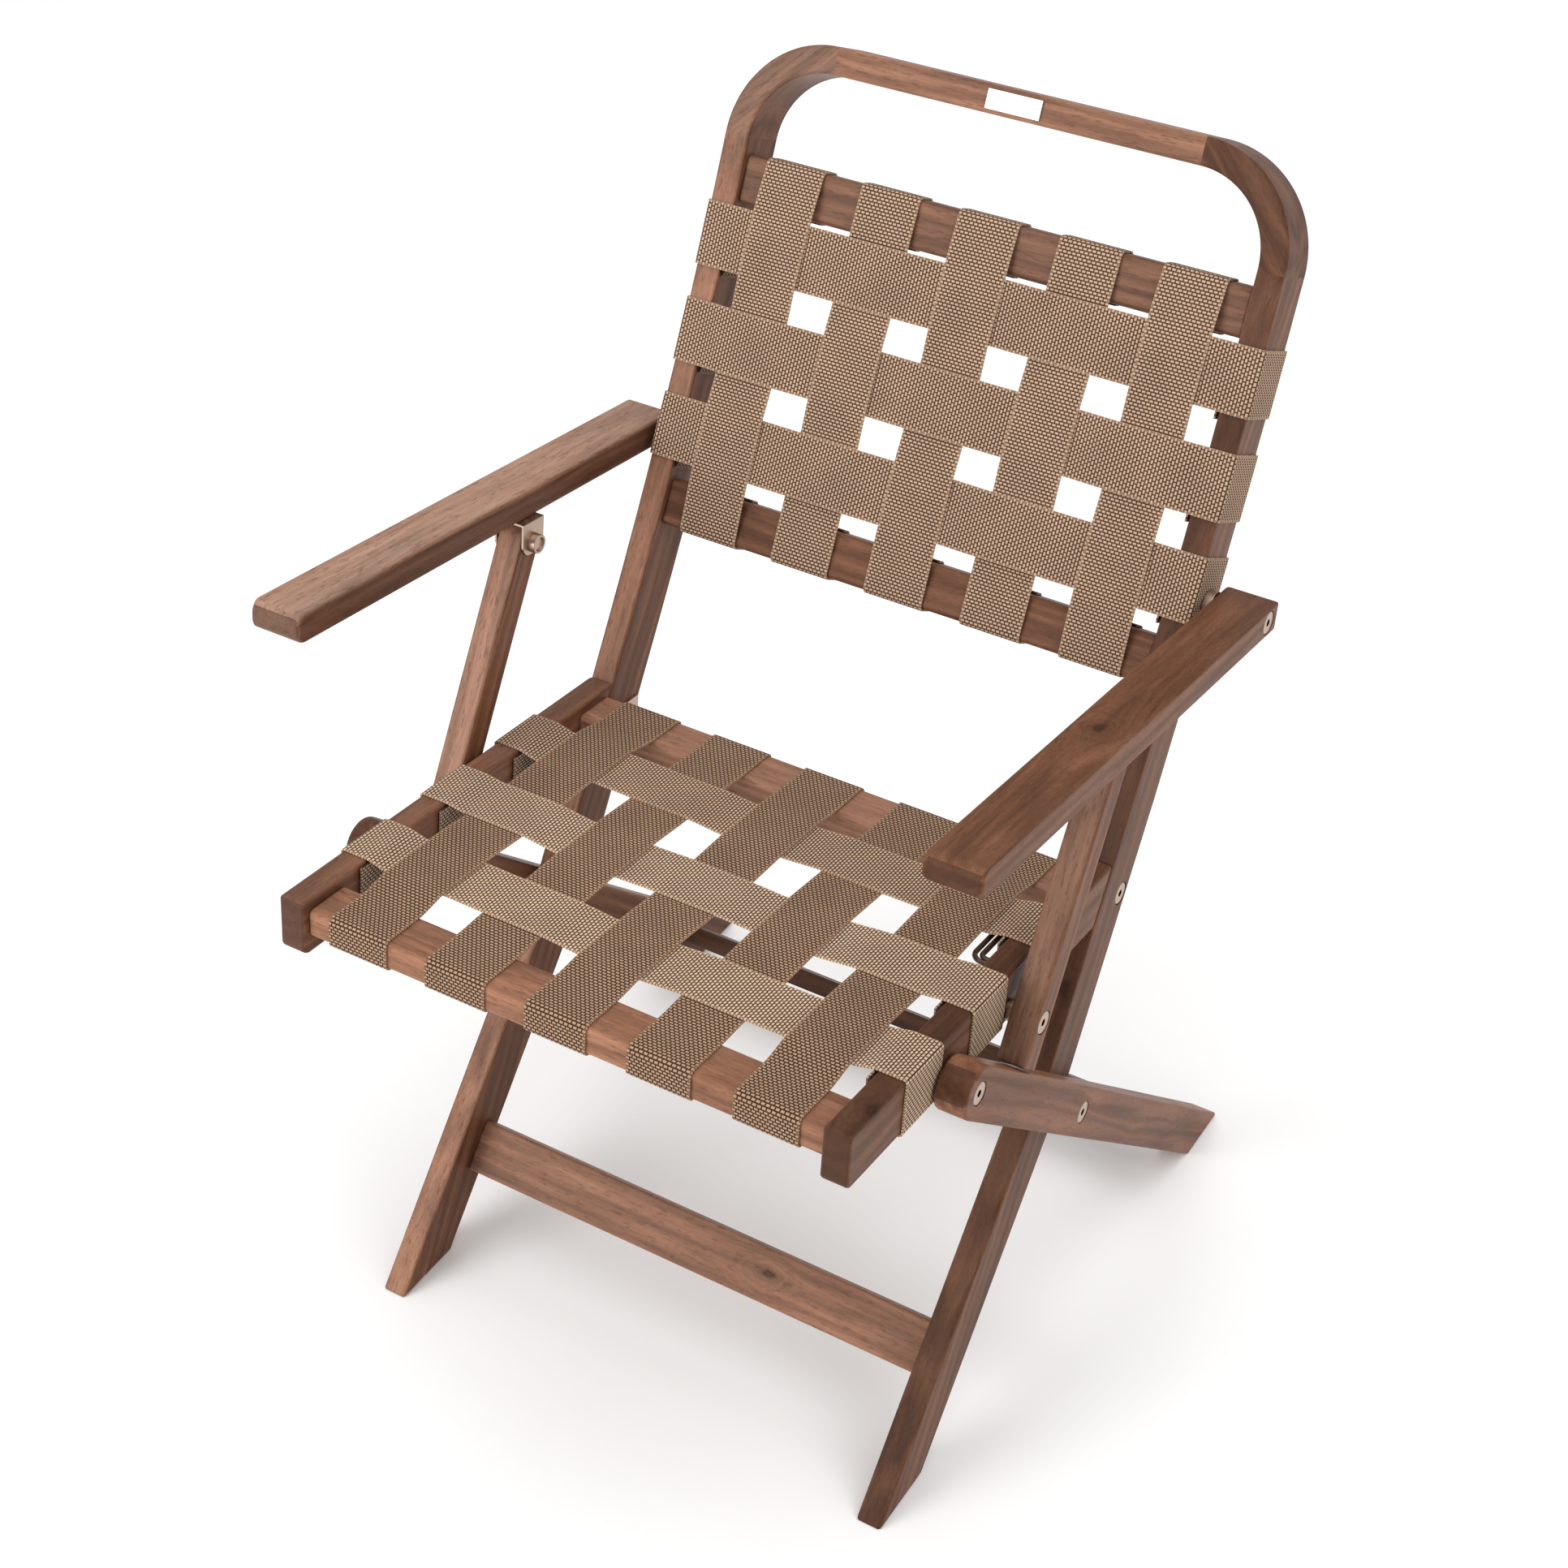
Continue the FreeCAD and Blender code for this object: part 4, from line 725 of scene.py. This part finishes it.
def bendWire(centre, degrees, axis):
    steps = max(6, int(abs(degrees) / 10))
    bpy.ops.mesh.spin(steps=steps, angle=math.radians(degrees), center=centre, axis=axis)


def startWire(shape, spot, turn):
    bpy.ops.object.select_all(action="DESELECT")
    bpy.ops.mesh.primitive_circle_add(vertices=shape["sides"], radius=shape["wireMm"] / 1000,
                                      fill_type="NOTHING", location=spot, rotation=turn)
    wire = bpy.context.object
    bpy.ops.object.transform_apply(location=True, rotation=True, scale=True)
    bpy.ops.object.mode_set(mode="EDIT")
    bpy.ops.mesh.select_all(action="SELECT")
    return wire


def closeWire():
    bpy.ops.mesh.select_all(action="SELECT")
    bpy.ops.mesh.remove_doubles(threshold=meshCare["mergeReach"])
    bpy.ops.mesh.fill_holes(sides=0)
    bpy.ops.mesh.normals_make_consistent(inside=False)
    bpy.ops.object.mode_set(mode="OBJECT")
    bpy.ops.object.shade_smooth_by_angle(angle=math.radians(steelFinish["wireSmoothBelow"]))


outerEntry = hookShape["bendStart"] - hookShape["outerBendMm"]
outerTurn = hookShape["outerRun"] + hookShape["outerBendMm"]
innerTurn = hookShape["innerRun"] + hookShape["innerBendMm"]
middleRun = (hookShape["outerRun"] + hookShape["innerRun"]) / 2
buried = layout["stileInner"] + hookShape["buriedMm"]
runLength = (hookShape["end"] - hookShape["bendStart"]) / 1000
hook = startWire(hookShape, hookSpot(buried, outerEntry), (0, math.radians(90), 0))
drawWire(Vector(((outerTurn - buried) / 1000, 0, 0)))
bendWire(hookSpot(outerTurn, hookShape["bendStart"]), 90, seatUp)
drawWire(seatAlong * runLength)
bendWire(hookSpot(middleRun, hookShape["end"]), 180, seatUp)
drawWire(seatAlong * -runLength)
bendWire(hookSpot(innerTurn, hookShape["bendStart"]), -90, seatUp)
drawWire(Vector(((buried - innerTurn) / 1000, 0, 0)))
closeWire()
finishPiece(hook, "wireHook", "seat_frame", brownWire)
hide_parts("carrying_hook")
print("steel ready:", len(steel) + 2)

# webbing straps: cut flat as a grid, then laid round the rails along their route
strapCut = {
    "widthMm": 50.0, "thickMm": 1.3, "columns": 12, "rowMm": 1.075, "scallopMm": 0.14,
    "slackMm": 1.1, "crossMm": 0.85, "halfCrossMm": 28.2,
    "railBendMm": 5.1, "boardBendMm": 2.6, "dipBendMm": 20.0, "weaveBendMm": 160.0,
    "bendRoom": 0.45, "arcDegrees": 6, "smoothBelow": 45, "edgeFrom": 0.499,
    "tailRunMm": 43.0, "underRunMm": 20.0, "tailLeanMm": 1.5, "tailShade": 0.55, "tailFrom": 0.99,
}
slack = strapCut["slackMm"]
strapPlaces = [-166.0, -83.0, 0.0, 83.0, 166.0]
# the bands, pulled over higher boards, lift the straps most near the sides
liftShare = [1.0, 0.55, 0.42, 0.55, 1.0]


def strapSide(strap, band):
    return 1 if (strap + band) % 2 == 0 else -1


def roundedRoute(corners, bends):
    # straight runs joined by arcs, as points close together
    points = [corners[0]]
    for before, corner, after, bend in zip(corners, corners[1:], corners[2:], bends[1:]):
        arrive = heading(before, corner)
        leave = heading(corner, after)
        swing = (leave - arrive + 180) % 360 - 180
        slope = abs(math.tan(math.radians(swing / 2)))
        room = strapCut["bendRoom"] * min(math.dist(before, corner), math.dist(corner, after))
        bend = min(bend, room / max(slope, 0.0001))
        setback = bend * slope
        steps = max(2, int(abs(swing) / strapCut["arcDegrees"]))
        start = linePoint(corner, arrive, -setback)
        centre = linePoint(start, arrive, 0, math.copysign(bend, swing))
        for step in range(steps + 1):
            angle = arrive + swing * step / steps - math.copysign(90, swing)
            spoke = polar(angle, bend)
            points.append((centre[0] + spoke[0], centre[1] + spoke[1]))
    points.append(corners[-1])
    return np.array(points)


def layStrap(name, node, body, route, place, lightTint, weaveShadeContrast, tailSlide=0.0):
    # place(route points, distance across) gives points in mm
    gaps = np.hypot(*np.diff(route, axis=0).T)
    reach = np.concatenate([[0], np.cumsum(gaps)])
    rows = int(reach[-1] / strapCut["rowMm"])
    bpy.ops.object.select_all(action="DESELECT")
    bpy.ops.mesh.primitive_grid_add(x_subdivisions=strapCut["columns"], y_subdivisions=rows, size=1.0)
    strap = bpy.context.object
    mesh = strap.data
    flat = np.empty(len(mesh.vertices) * 3)
    mesh.vertices.foreach_get("co", flat)
    flat = flat.reshape(-1, 3)
    across = flat[:, 0] * strapCut["widthMm"]
    along = (flat[:, 1] + 0.5) * reach[-1]
    rowNumber = np.rint((flat[:, 1] + 0.5) * rows).astype(int)
    edge = np.abs(flat[:, 0]) > strapCut["edgeFrom"]
    scallop = np.where(rowNumber % 2 == 0, 0.0, strapCut["scallopMm"])
    laid = across - np.where(edge, np.sign(across) * scallop, 0.0)
    # the tails slide a little along the boards, so their ends show beside the strap
    fromEnd = np.minimum(along, reach[-1] - along)
    tailEnd = strapCut["tailRunMm"] + strapCut["underRunMm"]
    slid = np.clip((tailEnd - fromEnd) / strapCut["underRunMm"], 0, 1)
    laid = laid + tailSlide * slid
    spots = np.stack([np.interp(along, reach, route[:, 0]), np.interp(along, reach, route[:, 1])], axis=1)
    placed = place(spots, laid) / 1000
    # painted shade: the tails on the rails' inner faces, which lie in the shade of the webbing, are
    # darkened
    isTail = (slid > strapCut["tailFrom"]) & (tailSlide != 0.0)
    tailShadeScale = np.where(isTail, strapCut["tailShade"], 1.0)
    mesh.vertices.foreach_set("co", placed.ravel())
    cutPlace = np.stack([across / 1000, along / 1000, np.zeros(len(across))], axis=1)
    mesh.attributes.new("weave", "FLOAT_VECTOR", "POINT").data.foreach_set("vector", cutPlace.ravel())
    paintedTints = np.outer(tailShadeScale, lightTint)
    mesh.attributes.new("lightTint", "FLOAT_VECTOR", "POINT").data.foreach_set("vector", paintedTints.ravel())
    # painted light: how strongly the weave's painted shade and highlight show on this strap
    shadeContrasts = np.full(len(across), weaveShadeContrast)
    mesh.attributes.new("weaveShadeContrast", "FLOAT", "POINT").data.foreach_set("value", shadeContrasts)
    mesh.update()
    thick = strap.modifiers.new("thick", "SOLIDIFY")
    thick.thickness = strapCut["thickMm"] / 1000
    thick.offset = 0.0
    thick.use_even_offset = True
    pick(strap)
    bpy.ops.object.modifier_apply(modifier=thick.name)
    bpy.ops.object.shade_smooth_by_angle(angle=math.radians(strapCut["smoothBelow"]))
    finishPiece(strap, name, body, wovenWebbing)
    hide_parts(node)


# lay is painted light and shade in a strap's tint, and relief the strength of the painted shade and
# highlight in its weave
backLie = {
    "railHalfDepth": 10.0, "lowerHalf": 18.0, "upperHalf": 18.5,
    "bandDrops": [77.5, 154.0, 230.5], "lift": 3.2, "tailShort": 3.0, "tailSlide": -6.0, "weaveShadeContrast": 1.0,
    "strapLightTint": (1.07, 1.07, 1.07), "bandLightTint": (1.06, 1.06, 1.06),
}


def backWrap(centre, angle, high):
    deep = backLie["railHalfDepth"] + slack
    return [linePoint(centre, angle, along, front) for along, front in
            ((-high, 0), (-high, -deep), (high, -deep), (high, deep))]


lowerCentre = stilePoint(jointDistance - layout["lowerRailDrop"], layout["railFront"])
upperCentre = stilePoint(jointDistance - layout["upperRailDrop"], layout["railFront"])
lowerWrap = backWrap(lowerCentre, lowRailAngle, -(backLie["lowerHalf"] + slack))
upperWrap = backWrap(upperCentre, highRailAngle, backLie["upperHalf"] + slack)[::-1]
backRun = heading(lowerWrap[3], upperWrap[0])


def runReach(drop):
    spot = stilePoint(jointDistance - drop)
    along = polar(backRun)
    return (spot[0] - lowerWrap[3][0]) * along[0] + (spot[1] - lowerWrap[3][1]) * along[1]


def lengthwise(middle):
    return lambda spots, across: np.stack([middle + across, spots[:, 0], spots[:, 1]], axis=1)


rail = strapCut["railBendMm"]
bow = strapCut["weaveBendMm"]
for strap, middle in enumerate(strapPlaces):
    corners = list(lowerWrap)
    for band in (2, 1, 0):
        reach = runReach(backLie["bandDrops"][band])
        height = strapSide(strap, band) * strapCut["crossMm"] + liftShare[strap] * backLie["lift"]
        for step in (-strapCut["halfCrossMm"], strapCut["halfCrossMm"]):
            corners.append(linePoint(lowerWrap[3], backRun, reach + step, height))
    corners += upperWrap
    bends = [0, rail, rail, rail] + [bow] * 6 + [rail, rail, rail, 0]
    layStrap(f"backStrap{strap + 1}", f"back_strap_{strap + 1}", "back_frame", roundedRoute(corners, bends),
             lengthwise(middle),
             backLie["strapLightTint"], backLie["weaveShadeContrast"])


def bandRoute(band, low, high, tail, middle, lift):
    inner = layout["stileInner"] - slack
    outer = layout["stileOuter"] + slack
    wrap = [(-inner + strapCut["tailLeanMm"], tail), (-inner, low), (-outer, low), (-outer, high),
            (-inner, high)]
    corners = list(wrap)
    for strap, place in enumerate(strapPlaces):
        height = middle - strapSide(strap, band) * strapCut["crossMm"] + liftShare[strap] * lift
        corners += [(place - strapCut["halfCrossMm"], height), (place + strapCut["halfCrossMm"], height)]
    corners += [(-across, height) for across, height in reversed(wrap)]
    bend = strapCut["boardBendMm"]
    dip = strapCut["dipBendMm"]
    bends = [0, bend, bend, bend, dip, dip] + [bow] * 8 + [dip, dip, bend, bend, bend, 0]
    return roundedRoute(corners, bends)


def crosswise(base, angle):
    # route points are (x, height); height goes along angle in the side view, across turned from it
    rise = polar(angle)
    slide = polar(angle - 90)
    return lambda spots, across: np.stack([
        spots[:, 0],
        base[0] + spots[:, 1] * rise[0] + across * slide[0],
        base[1] + spots[:, 1] * rise[1] + across * slide[1]], axis=1)


# staples: one bent from wire, then copied onto every tail of the bands
stapleShape = {
    "wireMm": 0.55, "sides": 8, "crownMm": 8.0, "bendMm": 0.8, "legMm": 2.2,
    "across": (-19.5, 0.0, 19.5), "belowTail": 12.0, "proudMm": 0.35,
}
half = stapleShape["crownMm"] / 2000
bend = stapleShape["bendMm"] / 1000
leg = stapleShape["legMm"] / 1000
staple = startWire(stapleShape, (-half, 0, -leg), (0, 0, 0))
drawWire(Vector((0, 0, leg - bend)))
bendWire(Vector((bend - half, 0, -bend)), -90, Vector((0, 1, 0)))
drawWire(Vector((2 * half - 2 * bend, 0, 0)))
bendWire(Vector((half - bend, 0, -bend)), -90, Vector((0, 1, 0)))
drawWire(Vector((0, 0, bend - leg)))
closeWire()
staples = []


def stapleTails(body, place, rise, tail, slide):
    inner = layout["stileInner"] - slack - strapCut["thickMm"] / 2 - stapleShape["proudMm"]
    for side in (-1, 1):
        for across in stapleShape["across"]:
            height = tail - stapleShape["belowTail"]
            spot = place(np.array([[side * inner, height]]), np.array([across + slide]))[0]
            out = Vector((-side, 0, 0))
            crown = Vector((0, *polar(rise - 90)))
            turned = Matrix((crown, out.cross(crown), out)).transposed()
            copy = bpy.data.objects.new("staple", staple.data.copy())
            bpy.context.collection.objects.link(copy)
            copy.data.transform(Matrix.Translation(Vector(spot) / 1000) @ turned.to_4x4())
            staples.append(copy)
            finishPiece(copy, f"staple{len(staples)}", body, zincSteel)


for band, drop in enumerate(backLie["bandDrops"]):
    distance = jointDistance - drop
    angle = stileAngle(distance)
    spot = stilePoint(distance)
    onRun = linePoint(lowerWrap[3], backRun, runReach(drop))
    front = polar(angle + 90)
    middle = (onRun[0] - spot[0]) * front[0] + (onRun[1] - spot[1]) * front[1]
    depth = layout["halfDepth"] + slack
    tail = depth - backLie["tailShort"]
    place = crosswise(spot, angle + 90)
    layStrap(f"backBand{band + 1}", f"back_band_{band + 1}", "back_frame",
             bandRoute(band, -depth, depth, tail, middle, backLie["lift"]), place,
             backLie["bandLightTint"], backLie["weaveShadeContrast"], backLie["tailSlide"])
    stapleTails("back_frame", place, angle + 90, tail, backLie["tailSlide"])

# painted light and shade: the seat's straps are tinted darker and browner and its bands lighter, for the
# way their yarn lies to the light from above
seatLie = {
    "weave": -7.5 + slack, "under": -29.5 - slack, "frontEdge": 5.5, "rearEdge": 376.97,
    "railDepth": 40.0, "railHeight": 44.0, "tail": 36.0, "bands": [281.01, 188.03, 95.05], "lift": 4.6,
    "bandTail": -1.2, "tailSlide": -9.0, "weaveShadeContrast": 1.5, "strapLightTint": (0.80, 0.735, 0.67),
    "bandLightTints": [(1.06, 1.06, 1.04), (1.22, 1.28, 1.28), (1.24, 1.29, 1.28)],
}
for strap, middle in enumerate(strapPlaces):
    front = seatLie["frontEdge"]
    rear = seatLie["rearEdge"]
    spots = [(front + seatLie["tail"], seatLie["under"]), (front - slack, seatLie["under"]),
             (front - slack, seatLie["weave"]), (front + seatLie["railDepth"] + slack, seatLie["weave"])]
    for band in (2, 1, 0):
        height = (seatLie["weave"] + strapSide(strap, band) * strapCut["crossMm"]
                  + liftShare[strap] * seatLie["lift"])
        spots += [(seatLie["bands"][band] - strapCut["halfCrossMm"], height),
                  (seatLie["bands"][band] + strapCut["halfCrossMm"], height)]
    spots += [(rear - seatLie["railDepth"] - slack, seatLie["weave"]), (rear + slack, seatLie["weave"]),
              (rear + slack, seatLie["under"]), (rear - seatLie["tail"], seatLie["under"])]
    corners = [seatPoint(along, -height) for along, height in spots]
    bends = [0, rail, rail, bow] + [bow] * 6 + [bow, rail, rail, 0]
    layStrap(f"seatStrap{strap + 1}", f"seat_strap_{strap + 1}", "seat_frame", roundedRoute(corners, bends),
             lengthwise(middle), seatLie["strapLightTint"], seatLie["weaveShadeContrast"])

seatRise = 90 - layout["seatTilt"]
for band, along in enumerate(seatLie["bands"]):
    low = -seatLie["railHeight"] - slack
    place = crosswise(seatPoint(along), seatRise)
    layStrap(f"seatBand{band + 1}", f"seat_band_{band + 1}", "seat_frame",
             bandRoute(band, low, slack, seatLie["bandTail"], seatLie["weave"], seatLie["lift"]),
             place,
             seatLie["bandLightTints"][band], seatLie["weaveShadeContrast"], seatLie["tailSlide"])
    stapleTails("seat_frame", place, seatRise, seatLie["bandTail"], seatLie["tailSlide"])
bpy.data.objects.remove(staple)
print("straps ready")
